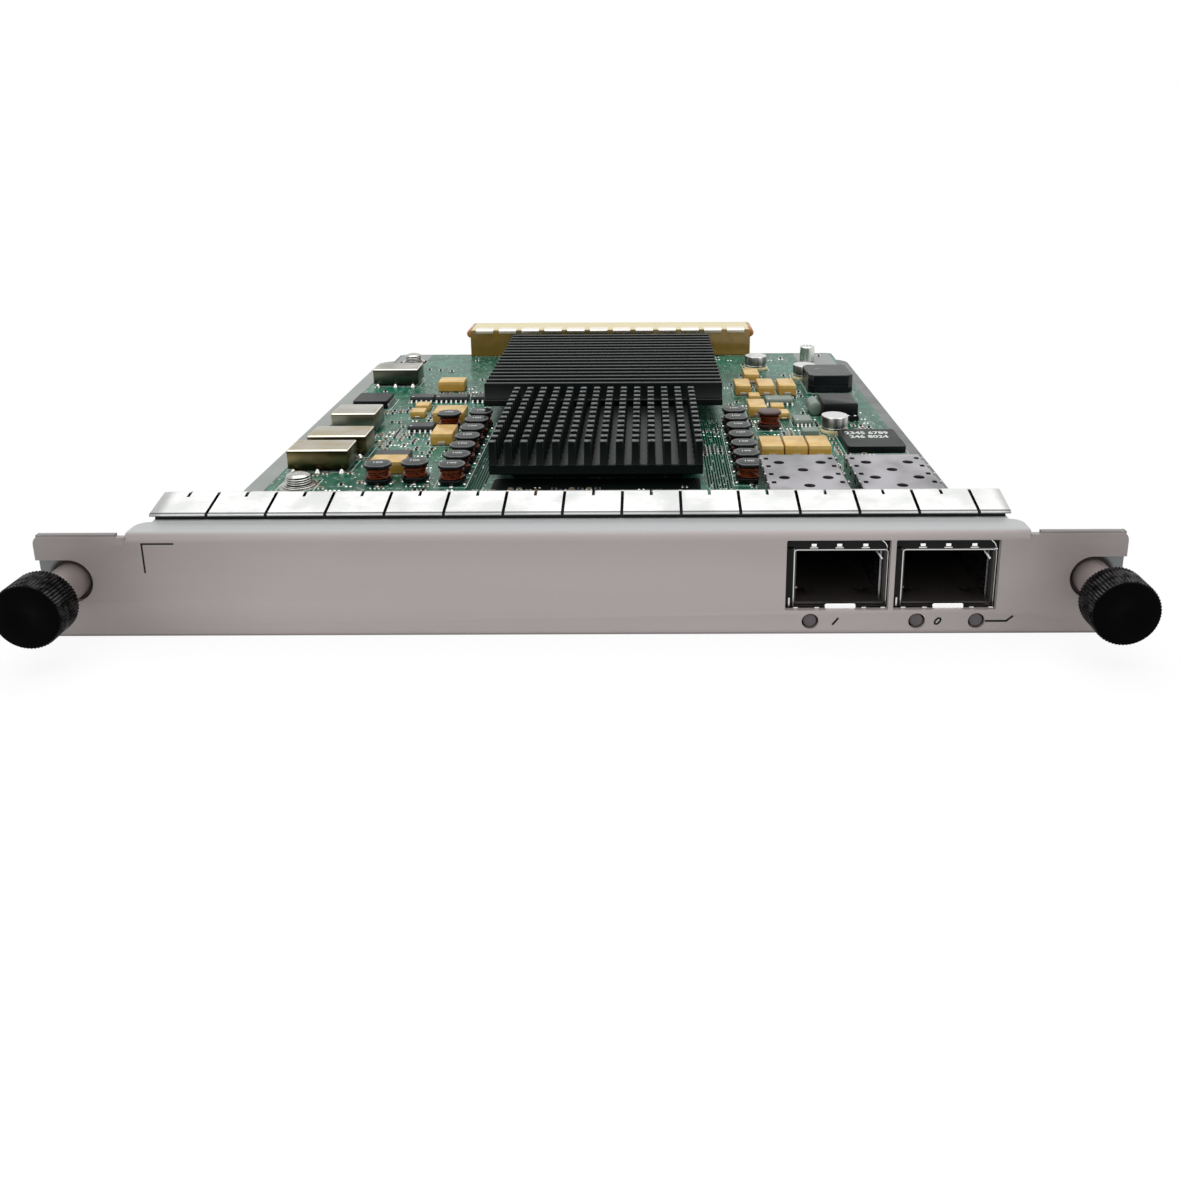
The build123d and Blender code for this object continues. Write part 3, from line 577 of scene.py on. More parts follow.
def painted(name, colour, rough=0.42, grain=0.30, depth=0.004, gloss=0.3):
    """Sprayed paint or powder: fine grain in colour, gloss and surface, with faint broad clouds."""
    f = Finish(name)
    fine = f.noise(grain, 3.0)
    broad = f.noise(22.0, 2.0)
    tone = f.blend(fine * 0.5 + broad * 0.5, shade(colour, 0.94), shade(colour, 1.06))
    return f.surface(
        Base_Color=tone, Roughness=fine * 0.12 + (rough - 0.06), Specular_IOR_Level=gloss,
        Normal=f.bump(fine, depth))


def panel_paint(name, colour):
    """Paint of the front panel: warm grey on the face, with painted shade a little darker towards its
    ends and its top, a line of painted shadow along the sheet's lower edge, a dark line on the top
    edges of its flat ends, and a more neutral grey on the flange."""
    f = Finish(name)
    x, y, z = f.axes()
    fine = f.noise(0.30, 3.0)
    broad = f.noise(20.0, 3.0)
    tone = f.blend(fine * 0.4 + broad * 0.6, shade(colour, 0.90), shade(colour, 1.08))
    # painted shade: darker towards the panel's ends and towards the top of its face
    ends = f.steps(x.math("ABSOLUTE"), 38.0, 80.0) * 0.30 + f.steps(z, 8.5, 15.0) * 0.14
    tone = f.blend(ends, tone, shade(colour, 0.30))
    top_edge = f.steps(z, PANEL_HIGH[2] - 0.32, PANEL_HIGH[2] - 0.12) * (x.math("ABSOLUTE") > 67.5)
    # painted shadow along the sheet's lower edge, and the dark line on the flat ends' top edges
    tone = f.blend(f.steps(z, 0.42, 0.12) * 0.6 + top_edge * 0.55, tone, shade(colour, 0.25))
    tone = f.blend(f.steps(y, FACE + 0.5, FACE + 1.5), tone, (0.475, 0.482, 0.482))
    return f.surface(
        Base_Color=tone, Roughness=fine * 0.10 + 0.33, Specular_IOR_Level=0.42, Normal=f.bump(fine, 0.003))


def metal(name, colour, rough=0.25, along=(1, 1, 1), depth=0.002, tarnish=0.06, metallic=1.0):
    """Sheet or plated metal: rolling or drawing lines along one way, a slightly uneven tone."""
    f = Finish(name)
    lines = f.noise(0.22, 3.0, along)
    broad = f.noise(7.0, 3.0)
    tone = f.blend(broad, shade(colour, 1 - tarnish), shade(colour, 1 + tarnish))
    return f.surface(
        Base_Color=tone, Metallic=metallic,
        Roughness=lines * 0.14 + broad * 0.08 + (rough - 0.11), Normal=f.bump(lines, depth))


def moulded(name, colour, rough=0.45, grain=0.12, depth=0.004, spread=0.10, gloss=0.3):
    """Moulded plastic, resin or ferrite: an even tone with a fine matt grain."""
    f = Finish(name)
    fine = f.noise(grain, 2.0)
    broad = f.noise(3.5, 3.0)
    tone = f.blend(fine * 0.4 + broad * 0.6, shade(colour, 1 - spread), shade(colour, 1 + spread))
    return f.surface(
        Base_Color=tone, Roughness=broad * 0.14 + (rough - 0.07), Specular_IOR_Level=gloss,
        Normal=f.bump(fine, depth))


def knob_plastic(name, front):
    """Black moulding: a matt front face, and ribs behind the front edge that are worn to a gloss."""
    f = Finish(name)
    _, y, _ = f.axes()
    fine = f.noise(0.18, 2.0)
    broad = f.noise(1.2, 2.0)
    ribs = f.steps(y, front + 0.10, front + 0.35) * f.steps(broad, 0.30, 0.70)
    tone = f.blend(fine, (0.0006, 0.0006, 0.0008), (0.0014, 0.0014, 0.0016))
    f.shader.inputs["Coat Roughness"].default_value = 0.12
    return f.surface(
        Base_Color=tone, Roughness=fine * 0.1 + 0.30, Specular_IOR_Level=0.02, Coat_Weight=ribs * 0.6,
        Normal=f.bump(fine, 0.004))


def tray_plate(name):
    """Tray sheet: dull plating, lighter to the left of the card than to its right."""
    f = Finish(name)
    x, _, _ = f.axes()
    lines = f.noise(0.22, 3.0, (1, 16, 1))
    broad = f.noise(12.0, 2.0)
    tone = f.blend(f.steps(x, -40.0, 50.0), (0.27, 0.29, 0.27), (0.115, 0.125, 0.120))
    tone = f.blend(f.steps(broad, 0.3, 0.7) * 0.25, tone, (0.42, 0.43, 0.41))
    return f.surface(
        Base_Color=tone, Metallic=0.8, Roughness=lines * 0.12 + 0.34, Normal=f.bump(lines, 0.0015))


def bracket_plate(name):
    """Bracket sheet, with a dark ring of painted shadow round each ferrule."""
    f = Finish(name)
    x, _, z = f.axes()
    lines = f.noise(0.22, 3.0, (12, 1, 1))
    away, up = x.math("ABSOLUTE") - SCREW_X, z - SCREW_Z
    radius = (away * away + up * up).math("SQRT")
    # painted shadow: dark inside a ring round each ferrule's axis
    tone = f.blend(f.steps(radius, 3.9, 3.1), (0.17, 0.18, 0.18), (0.020, 0.014, 0.012))
    return f.surface(
        Base_Color=tone, Metallic=0.7, Roughness=lines * 0.12 + 0.32, Normal=f.bump(lines, 0.0015))


def connector_plastic(name, colour):
    """Glossy amber moulding: dark olive in the middle of its height, golden low down and at its ends."""
    f = Finish(name)
    x, _, z = f.axes()
    broad = f.noise(3.0, 2.0)
    ends = f.steps((x + 1.4).math("ABSOLUTE"), 29.0, 33.5) * 0.7
    gold = f.steps(z, BOARD + 3.6, BOARD + 1.2).math("MAXIMUM", ends)
    tone = f.blend(f.steps(broad, 0.35, 0.65), shade(colour, 0.42), shade(colour, 0.9))
    tone = f.blend(gold * 0.7, tone, (0.36, 0.20, 0.028))
    return f.surface(Base_Color=tone, Roughness=broad * 0.12 + 0.14, Specular_IOR_Level=0.5,
                     Normal=f.bump(broad, 0.004))


def pin_black(name, top, highlight_share):
    """Black anodising, with a pale grey highlight painted on the very tips of pins and fins."""
    f = Finish(name)
    _, _, z = f.axes()
    fine = f.noise(0.16, 3.0)
    # painted highlight on the tips, in patches
    tip_highlight = f.steps(z, top - 0.16, top - 0.05) * f.steps(f.noise(0.9, 2.0), 0.35, 0.60)
    tone = f.blend(tip_highlight * highlight_share, (0.0050, 0.0072, 0.0070), (0.13, 0.14, 0.14))
    return f.surface(
        Base_Color=tone, Roughness=fine * 0.12 + 0.26, Specular_IOR_Level=0.16, Normal=f.bump(fine, 0.003))


def solder_resist(name, colour):
    """Solder resist over copper: patches of parallel tracks running either way, copper areas in a
    lighter green, and tinned via rings round dark holes."""
    f = Finish(name)
    x, y, _ = f.axes()
    zone = f.cells(7.0, "Color")
    split = f.tree.nodes.new("ShaderNodeSeparateColor")
    f.tree.links.new(zone.socket, split.inputs[0])
    kind, way, offset = [Sum(f, socket) for socket in split.outputs]
    across = (x / 0.55).math("FRACT") < 0.36
    down = (y / 0.75).math("FRACT") < 0.36
    lengthwise = way > 0.40
    tracks = across * lengthwise + down * (1.0 - lengthwise)
    breaks = f.noise(2.2, 1.0, (0.5, 1.5, 1)) > 0.46
    tracks = tracks * breaks * (kind > 0.22)
    pour = (f.noise(16.0, 2.0) > 0.55) * 0.5
    hole = f.cells(1.5)
    ring = (hole < 0.20) * (hole > 0.09) * (offset > 0.30)
    pin = (hole < 0.09) * (offset > 0.30)
    tone = f.blend(pour, colour, shade(colour, 2.2))
    tone = f.blend(tracks * 0.80, tone, (0.13, 0.30, 0.21))
    tone = f.blend(ring * 0.8, tone, (0.40, 0.48, 0.42))
    tone = f.blend(pin, tone, (0.005, 0.015, 0.01))
    height = tracks * 0.6 + pour * 0.4 + ring
    grain = f.noise(0.4, 2.0)
    return f.surface(
        Base_Color=tone, Roughness=grain * 0.10 + 0.26, Specular_IOR_Level=0.22,
        Normal=f.bump(height + grain * 0.1, 0.030))


def sheet_tin(name, dark, light):
    """Tinned sheet: smooth, with broad soft clouds from a dark to a light grey and fine rolling lines."""
    f = Finish(name)
    lines = f.noise(0.5, 2.0, (1, 12, 1))
    cloud = f.noise(9.0, 2.5, (1, 1.6, 1))
    tone = f.blend(f.steps(cloud, 0.34, 0.64), dark, light)
    return f.surface(
        Base_Color=tone, Metallic=1.0, Roughness=cloud * 0.10 + lines * 0.06 + 0.20,
        Normal=f.bump(lines, 0.0004))


def winding(name):
    """Enamelled copper: the tone changes from turn to turn, red-brown to orange."""
    f = Finish(name)
    _, _, z = f.axes()
    turn = (z / 0.36).math("FRACT")
    broad = f.noise(1.3, 3.0)
    tone = f.blend(turn * 0.5 + broad * 0.5, (0.055, 0.009, 0.005), (0.34, 0.065, 0.020))
    return f.surface(Base_Color=tone, Metallic=0.45, Roughness=broad * 0.2 + 0.14,
                     Normal=f.bump(broad, 0.006))


def module_can(name, dark, light):
    """Drawn can: brushed grey on top, a painted highlight along the rolled edge with a line of painted
    shade under it, and a side with a soft painted highlight half way up, stronger here and there along it."""
    f = Finish(name)
    _, _, z = f.axes()
    edge, middle = MODULE_TOP, (MODULE_TOP + BOARD) / 2 + 0.3
    broad = f.noise(5.0, 2.0, (1.6, 1, 3))
    # painted highlight half way up the side
    side_highlight = f.steps((z - middle).math("ABSOLUTE"), 1.7, 0.1) * 0.6 + f.steps(broad, 0.40, 0.68) * 0.4
    side = f.blend(side_highlight, dark, light)
    # painted shade: a dark line under the rolled edge
    side = f.blend(f.steps(z, edge - 0.62, edge - 0.46), side, shade(dark, 0.3))
    # painted highlight along the rolled edge
    rolled = f.blend(f.steps(z, edge - 0.36, edge - 0.26), side, (0.80, 0.76, 0.64))
    top = f.blend(f.steps(f.noise(8.0, 2.0, (1.5, 1, 1)), 0.3, 0.7), shade(light, 1.15), (0.46, 0.45, 0.40))
    tone = f.blend(f.steps(z, edge - 0.12, edge - 0.05), rolled, top)
    return f.surface(Base_Color=tone, Metallic=1.0, Roughness=broad * 0.06 + 0.26)


def drawn_can(name, edge):
    """Drawn aluminium: a pale top, and a side with upright streaks from dark to bright."""
    f = Finish(name)
    _, _, z = f.axes()
    streaks = f.steps(f.noise(1.5, 1.0, (1, 1, 60)), 0.36, 0.64)
    side = f.blend(streaks, (0.15, 0.155, 0.15), (0.46, 0.46, 0.45))
    tone = f.blend(f.steps(z, edge - 0.35, edge - 0.15), side, (0.66, 0.66, 0.65))
    fine = f.noise(0.25, 2.0)
    return f.surface(Base_Color=tone, Metallic=1.0, Roughness=fine * 0.1 + 0.26, Normal=f.bump(fine, 0.001))


def burnished_strip(name, edge):
    """Bright spring strip: painted shade on the lip below its edge, a dark line of painted shade at
    the fold, darker ends.
    """
    f = Finish(name)
    x, y, z = f.axes()
    lines = f.noise(0.25, 3.0, (14, 1, 1))
    broad = f.noise(9.0, 3.0)
    # painted shade on the lip below the edge
    low = f.steps(z, edge, edge - 0.25)
    tone = f.blend(low, f.blend(f.steps(broad, 0.36, 0.62), (0.66, 0.67, 0.66), (0.86, 0.865, 0.85)),
                   (0.62, 0.63, 0.62))
    front = box_mm("emi_finger_strip")[0][1]
    # painted shade: a dark line in the fold above the lip
    fold_shade = f.steps(y, front + 0.60, front + 0.50) * f.steps(z, edge - 0.06, edge)
    fold_shade = fold_shade * f.steps(z, edge + 0.17, edge + 0.11)
    tone = f.blend(f.steps(x.math("ABSOLUTE"), 63.9, 65.6) * 0.5, tone, (0.10, 0.10, 0.10))
    tone = f.blend(fold_shade * 0.85, tone, (0.04, 0.04, 0.04))
    return f.surface(
        Base_Color=tone, Metallic=1.0, Roughness=lines * 0.10 + 0.16, Normal=f.bump(lines, 0.0015))


def resin_block(name, colour, edge):
    """Tantalum resin: golden sides and a paler top."""
    f = Finish(name)
    _, _, z = f.axes()
    broad = f.noise(3.0, 2.0)
    low = f.steps(z, edge, edge - 0.4)
    top = f.blend(f.steps(broad, 0.35, 0.65), (0.70, 0.43, 0.13), (0.80, 0.56, 0.22))
    tone = f.blend(low, top, colour)
    return f.surface(
        Base_Color=tone, Roughness=broad * 0.12 + 0.30, Specular_IOR_Level=0.3,
        Normal=f.bump(f.noise(0.2, 2.0), 0.003))


# Every finish by its plain name: the function that makes it, its values in order, and where needed
# the values that are given by name. A word in place of a colour is the setting that holds it.
FINISHES = {
    "panel paint": (panel_paint, "panel_colour"),
    # panel print, and painted shade under the finger strip, in the cage mouths, beside the cages and in the
    # screw heads' grooves
    "dark print": (painted, (0.012, 0.012, 0.012), 0.5, {"gloss": 0.1}),
    "bright strip": (burnished_strip, PANEL_HIGH[2] + 0.95),
    "bright tab": (metal, (0.95, 0.95, 0.94), 0.25),
    "tray steel": (tray_plate,),
    "bracket steel": (bracket_plate,),
    "nickel": (metal, (0.46, 0.46, 0.44), 0.20, {"tarnish": 0.25}),
    "ferrule grey": (metal, (0.42, 0.37, 0.36), 0.34, (1, 6, 1), 0.002, 0.05, 0.7),
    "knob black": (knob_plastic, box_mm("thumbscrew_knob_left")[0][1]),
    "cage metal": (sheet_tin, (0.20, 0.195, 0.205), (0.42, 0.405, 0.43)),
    "cage rim": (metal, (0.62, 0.61, 0.60), 0.22),
    # painted shade: the dark inside of the cage mouths
    "cage inside": (metal, (0.040, 0.034, 0.030), 0.50, (1, 6, 1), 0.002, 0.3, 0.2),
    "black plastic": (moulded, (0.008, 0.008, 0.009), 0.40, {"gloss": 0.12}),
    "light lens": (moulded, (0.105, 0.092, 0.095), 0.28, 0.35, 0.01, 0.25),
    "anodised pins": (pin_black, box_mm("heat_sink_front")[1][2], 0.85),
    "anodised fins": (pin_black, box_mm("heat_sink_rear")[1][2] + 0.1, 0.35),
    "chip resin": (moulded, (0.0045, 0.0055, 0.006), 0.34, 0.10, 0.003, {"gloss": 0.12}),
    "grey resin": (moulded, (0.030, 0.033, 0.036), 0.36, 0.10, 0.003, {"gloss": 0.2}),
    "thermal pad": (moulded, (0.30, 0.30, 0.31), 0.70),
    "connector plastic": (connector_plastic, "housing_colour"),
    "ivory top": (moulded, (0.74, 0.65, 0.38), 0.34, 0.3, 0.002, 0.10),
    "end brown": (moulded, (0.42, 0.16, 0.035), 0.22, 0.3, 0.002, 0.2, 0.5),
    "shield tab": (metal, (0.88, 0.80, 0.70), 0.28, (1, 8, 1), 0.002, 0.04),
    "bronze can": (module_can, (0.045, 0.036, 0.014), (0.30, 0.24, 0.12)),
    "grey can": (module_can, (0.16, 0.155, 0.12), (0.30, 0.29, 0.24)),
    "olive can": (module_can, (0.035, 0.038, 0.026), (0.11, 0.115, 0.085)),
    "ferrite": (moulded, (0.0070, 0.0090, 0.0095), 0.26, 0.14, 0.003, 0.25, 0.16),
    "brown ferrite": (moulded, (0.045, 0.013, 0.010), 0.28, 0.14, 0.004, 0.25, 0.3),
    "copper winding": (winding,),
    "white print": (painted, (0.70, 0.74, 0.70), 0.55, 0.2, 0.002),
    "tantalum resin": (resin_block, "tantalum_colour", BOARD + 2.2),
    "small tantalum resin": (resin_block, "tantalum_colour", BOARD + 1.4),
    "can aluminium": (drawn_can, box_mm("electrolytic_cans")[1][2]),
    "dull tin": (metal, (0.34, 0.31, 0.25), 0.34, (1, 1, 1), 0.004),
    # painted highlight on the inductor rims and the line chip's front edge, and a small pale dot on the
    # choke
    "worn edge": (moulded, (0.085, 0.090, 0.092), 0.30, 0.2, 0.003, {"gloss": 0.4}),
    "green resin": (moulded, (0.20, 0.25, 0.21), 0.35, 0.3, 0.002, 0.1),
    "grey patch": (moulded, (0.20, 0.22, 0.21), 0.30, 0.3, 0.002, 0.15, 0.4),
    "pale track": (moulded, (0.33, 0.46, 0.37), 0.30, 0.3, 0.002, 0.3, 0.4),
    # painted shadow on the board in front of the pin heat sink
    "dark resist": (moulded, (0.0035, 0.006, 0.005), 0.4, 0.3, 0.002, 0.3, 0.05),
    "spring steel": (metal, (0.16, 0.155, 0.15), 0.30),
    "tinned": (metal, (0.62, 0.63, 0.60), 0.28, (1, 1, 1), 0.006, 0.15),
    "chip part dark": (moulded, (0.020, 0.020, 0.024), 0.35, {"gloss": 0.2}),
    "chip part tan": (moulded, (0.26, 0.19, 0.11), 0.45),
    "solder resist": (solder_resist, "board_colour"),
}
MADE = {}


def finish(name):
    """A finish by its plain name, made when it is first asked for."""
    if name not in MADE:
        make, *values = FINISHES[name]
        named = values.pop() if values and isinstance(values[-1], dict) else {}
        look = bpy.context.scene.card_settings
        values = [tuple(getattr(look, v)) if isinstance(v, str) else v for v in values]
        MADE[name] = make(name.replace(" ", "_"), *values, **named)
    return MADE[name]


def dress(finish_name, *nodes):
    """Give CAD nodes that stay visible their finish."""
    for node in nodes:
        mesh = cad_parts[node].data
        mesh.materials.clear()
        mesh.materials.append(finish(finish_name))


def edge_rings(low, high, edge):
    """Rings of a block from low to high with small chamfers top and bottom."""
    return [(low, -edge), (low + edge, 0.0), (high - edge, 0.0), (high, -edge)]


class CardOperator:
    """What every operator of this add-on shares."""

    bl_options = {"REGISTER", "UNDO"}


# The camera, fitted to points measured in the photograph
PHOTO_PIXELS, FOCAL_PIXELS = 1180.0, 1101.0
VIEW_SHIFT = (-0.0451, -0.1421)
VIEW_PLACE = (0.01025, FACE * MM - 0.15218, 0.07622)
VIEW_TURNS = (0.269, 74.285, -0.317)


class CARD_OT_stage(CardOperator, bpy.types.Operator):
    """Floor, soft lamps, pale surroundings and the camera at the photograph's view"""

    bl_idname = "card.stage"
    bl_label = "Stage"

    def execute(self, context):
        scene = context.scene
        scene.view_settings.view_transform = "Standard"
        world = bpy.data.worlds.new("studio")
        scene.world = world
        world.use_nodes = True
        tree = world.node_tree
        tree.nodes.clear()
        path = tree.nodes.new("ShaderNodeLightPath")
        seen, more = [tree.nodes.new("ShaderNodeMath") for _ in range(2)]
        seen.operation = more.operation = "MAXIMUM"
        tree.links.new(path.outputs["Is Camera Ray"], seen.inputs[0])
        tree.links.new(path.outputs["Is Glossy Ray"], more.inputs[0])
        tree.links.new(path.outputs["Is Transmission Ray"], more.inputs[1])
        tree.links.new(more.outputs[0], seen.inputs[1])
        soft, white = [tree.nodes.new("ShaderNodeBackground") for _ in range(2)]
        soft.inputs[0].default_value = (0.97, 0.98, 1.0, 1)
        soft.inputs[1].default_value = 0.37
        white.inputs[0].default_value = (1, 1, 1, 1)
        choose = tree.nodes.new("ShaderNodeMixShader")
        tree.links.new(seen.outputs[0], choose.inputs[0])
        tree.links.new(soft.outputs[0], choose.inputs[1])
        tree.links.new(white.outputs[0], choose.inputs[2])
        out = tree.nodes.new("ShaderNodeOutputWorld")
        tree.links.new(choose.outputs[0], out.inputs[0])

        size = 3.0
        corners = [(-size, -size, 0), (size, -size, 0), (size, size, 0), (-size, size, 0)]
        mesh = bpy.data.meshes.new("floor")
        mesh.from_pydata(corners, [], [(0, 1, 2, 3)])
        floor = bpy.data.objects.new("floor", mesh)
        scene.collection.objects.link(floor)
        f = Finish("floor_white")
        cloud = f.noise(400.0, 2.0)
        tone = f.blend(cloud, (0.80, 0.80, 0.80), (0.84, 0.84, 0.84))
        f.surface(Base_Color=tone, Roughness=0.8, Specular_IOR_Level=0.2)
        glow = f.node("ShaderNodeEmission", {}, {"Color": (1, 1, 1, 1), "Strength": 1.04})
        ray, glossy, through = [f.node("ShaderNodeLightPath", {}, {}, f"Is {kind} Ray")
                                for kind in ("Camera", "Glossy", "Transmission")]
        x, y, _ = f.axes()
        far = (x * x + y * y).math("SQRT")
        any_ray = ray.math("MAXIMUM", glossy).math("MAXIMUM", through)
        share = any_ray * (f.steps(far, 130.0, 420.0) * 0.15 + 0.85)
        join = f.node("ShaderNodeMixShader", {}, {0: share})
        joined = join.socket.node
        f.tree.links.new(f.shader.outputs[0], joined.inputs[1])
        f.tree.links.new(glow.socket, joined.inputs[2])
        f.tree.links.new(join.socket, f.tree.nodes["Material Output"].inputs["Surface"])
        mesh.materials.append(f.material)

        for name, place, aim, wide, power in (
            ("top lamp", (0.0, 0.10, 1.10), (0.0, 0.0, 0.0), 1.3, 9.6),
            ("left lamp", (-0.8, -0.8, 0.50), (0.0, -0.05, 0.0), 0.8, 2.3),
            ("right lamp", (0.8, -0.8, 0.50), (0.0, -0.05, 0.0), 0.8, 2.5),
        ):
            lamp = bpy.data.lights.new(name, "AREA")
            lamp.size = wide
            lamp.energy = power
            holder = bpy.data.objects.new(name, lamp)
            holder.location = place
            holder.rotation_euler = (Vector(aim) - Vector(place)).to_track_quat("-Z", "Y").to_euler()
            scene.collection.objects.link(holder)

        lens = bpy.data.cameras.new("camera")
        lens.sensor_fit = "HORIZONTAL"
        lens.sensor_width = 36.0
        lens.lens = FOCAL_PIXELS / PHOTO_PIXELS * lens.sensor_width
        lens.shift_x, lens.shift_y = VIEW_SHIFT
        lens.clip_start = 0.01
        view = bpy.data.objects.new("camera", lens)
        view.location = VIEW_PLACE
        heading, tilt, roll = [Matrix.Rotation(math.radians(a), 3, way) for a,
                               way in zip(VIEW_TURNS, "ZXZ")]
        view.rotation_euler = (heading @ tilt @ roll).to_euler()
        scene.collection.objects.link(view)
        scene.camera = view
        return {"FINISHED"}


def port_places():
    """Middle of each transceiver cage across the card."""
    return [float((box_mm(node)[0][0] + box_mm(node)[1][0]) / 2)
            for node in ("transceiver_cage_left", "transceiver_cage_right")]


class CARD_OT_panel(CardOperator, bpy.types.Operator):
    """Front panel: one sheet folded from its flat pattern, with notches, port openings and light holes"""

    bl_idname = "card.panel"
    bl_label = "Front panel"

    def execute(self, context):
        look = context.scene.card_settings
        wide = PANEL_HIGH[0]
        tall = PANEL_HIGH[2]
        thick = look.panel_sheet / MM
        radius = look.bend_radius / MM
        shift = 0.35
        reach = PANEL_HIGH[1] - FACE
        distance, line, cuts = bent_line([(0, 0), (0, tall), (reach, tall)], radius, 8)
        end = distance[-1]
        back = end - (reach - 5.4)
        round_end = 1.9
        notch_r = 3.4
        relief, slit = tall - 1.6, 0.3
        right = np.concatenate([arc((wide - 1.5, 1.5), 1.5, 270, 360, 8), [(wide, SCREW_Z - notch_r)],
                                arc((SCREW_X, SCREW_Z), notch_r, 270, 90, 24), [(wide, SCREW_Z + notch_r)],
                                arc((wide - 1.5, tall - 1.5), 1.5, 0, 90, 8),
                                [(68.6, tall), (68.6, tall - 0.45), (FLANGE_HALF + slit, tall - 0.45),
                                 (FLANGE_HALF + slit, relief), (FLANGE_HALF, relief)],
                                arc((FLANGE_HALF - round_end, back - round_end), round_end, 0, 90, 8),
                                [(FLANGE_HALF - round_end, end)]])
        outline = np.concatenate([right, right[::-1] * (-1, 1)])
        holes = [oblong((x, PORT_Z), PORT_HALF, 0.2, 3) for x in port_places()]
        middles, _ = solids("status_light_lenses")
        holes += [arc((x, z), LIGHT_HOLE, 0, 345, 24) for x, _, z in middles]

        def place(across, along):
            depth = np.interp(along, distance, line[:, 0])
            height = np.interp(along, distance, line[:, 1])
            flat = np.abs(across) > FLANGE_HALF + slit / 2
            inner = np.interp(np.abs(across), (62.4, 66.0, 68.6, 69.6),
                              (0.0, 1.0, 1.0, 0.0)) * (along > 14.0)
            across = across - shift * inner
            depth = np.where(flat, 0.0, depth)
            height = np.where(flat, along, height)
            return np.stack([across, FACE + depth, height], -1)

        shell = Shell()
        shell.take(sheet_metal([outline, *holes], cuts, place, thick, 0.10))
        fill = np.array([(sign * (FLANGE_HALF + slit / 2) - shift, FACE + 0.012,
                          relief + 0.55) for sign in (-1, 1)])
        stack(shell, fill, (slit / 2 + 0.06, 0.6), 0.02, [(0, 0), (thick - 0.05, 0)], 0, axis="y")
        piece("panel_sheet", shell, ["panel paint"], replaced=["front_panel"])

        marks = Shell()
        front = FACE - 0.008
        bars = [
            ((-62.75, front, 14.95), (2.45, 0.13)), ((-65.08, front, 12.65), (0.13, 2.35)),
            ((middles[2][0] + 2.95, front, middles[2][2]), (1.65, 0.16)),
        ]
        for middle, half in bars:
            stack(marks, middle, half, 0.02, [(-0.008, 0), (0.008, 0)], 0, axis="y")
        stack(marks, (middles[2][0] + 4.98, front, middles[2][2] + 0.42), (0.66, 0.16), 0.02,
              [(-0.008, 0), (0.008, 0)], 0, turn=-40.0, axis="y")
        for text, x in (("1", middles[0][0] + 3.75), ("0", middles[1][0] + 3.1)):
            spot = (x, front, middles[0][2] - 0.05)
            digits(marks, text, 1.95, spot, turn=-38.0, front=True, thick=0.016, weight=0.03)
        piece("panel_print", marks, ["dark print"])

        lenses = Shell()
        for x, _, z in middles:
            rings = [(0.16, 0.4), (0.20, 0.75), (0.34, 1.0), (0.6, 1.06), (3.0, 1.06)]
            turned(lenses, (x, FACE, z), rings, 28, axis="y")
        piece("light_lenses", lenses, ["light lens"], replaced=["status_light_lenses"])
        return {"FINISHED"}


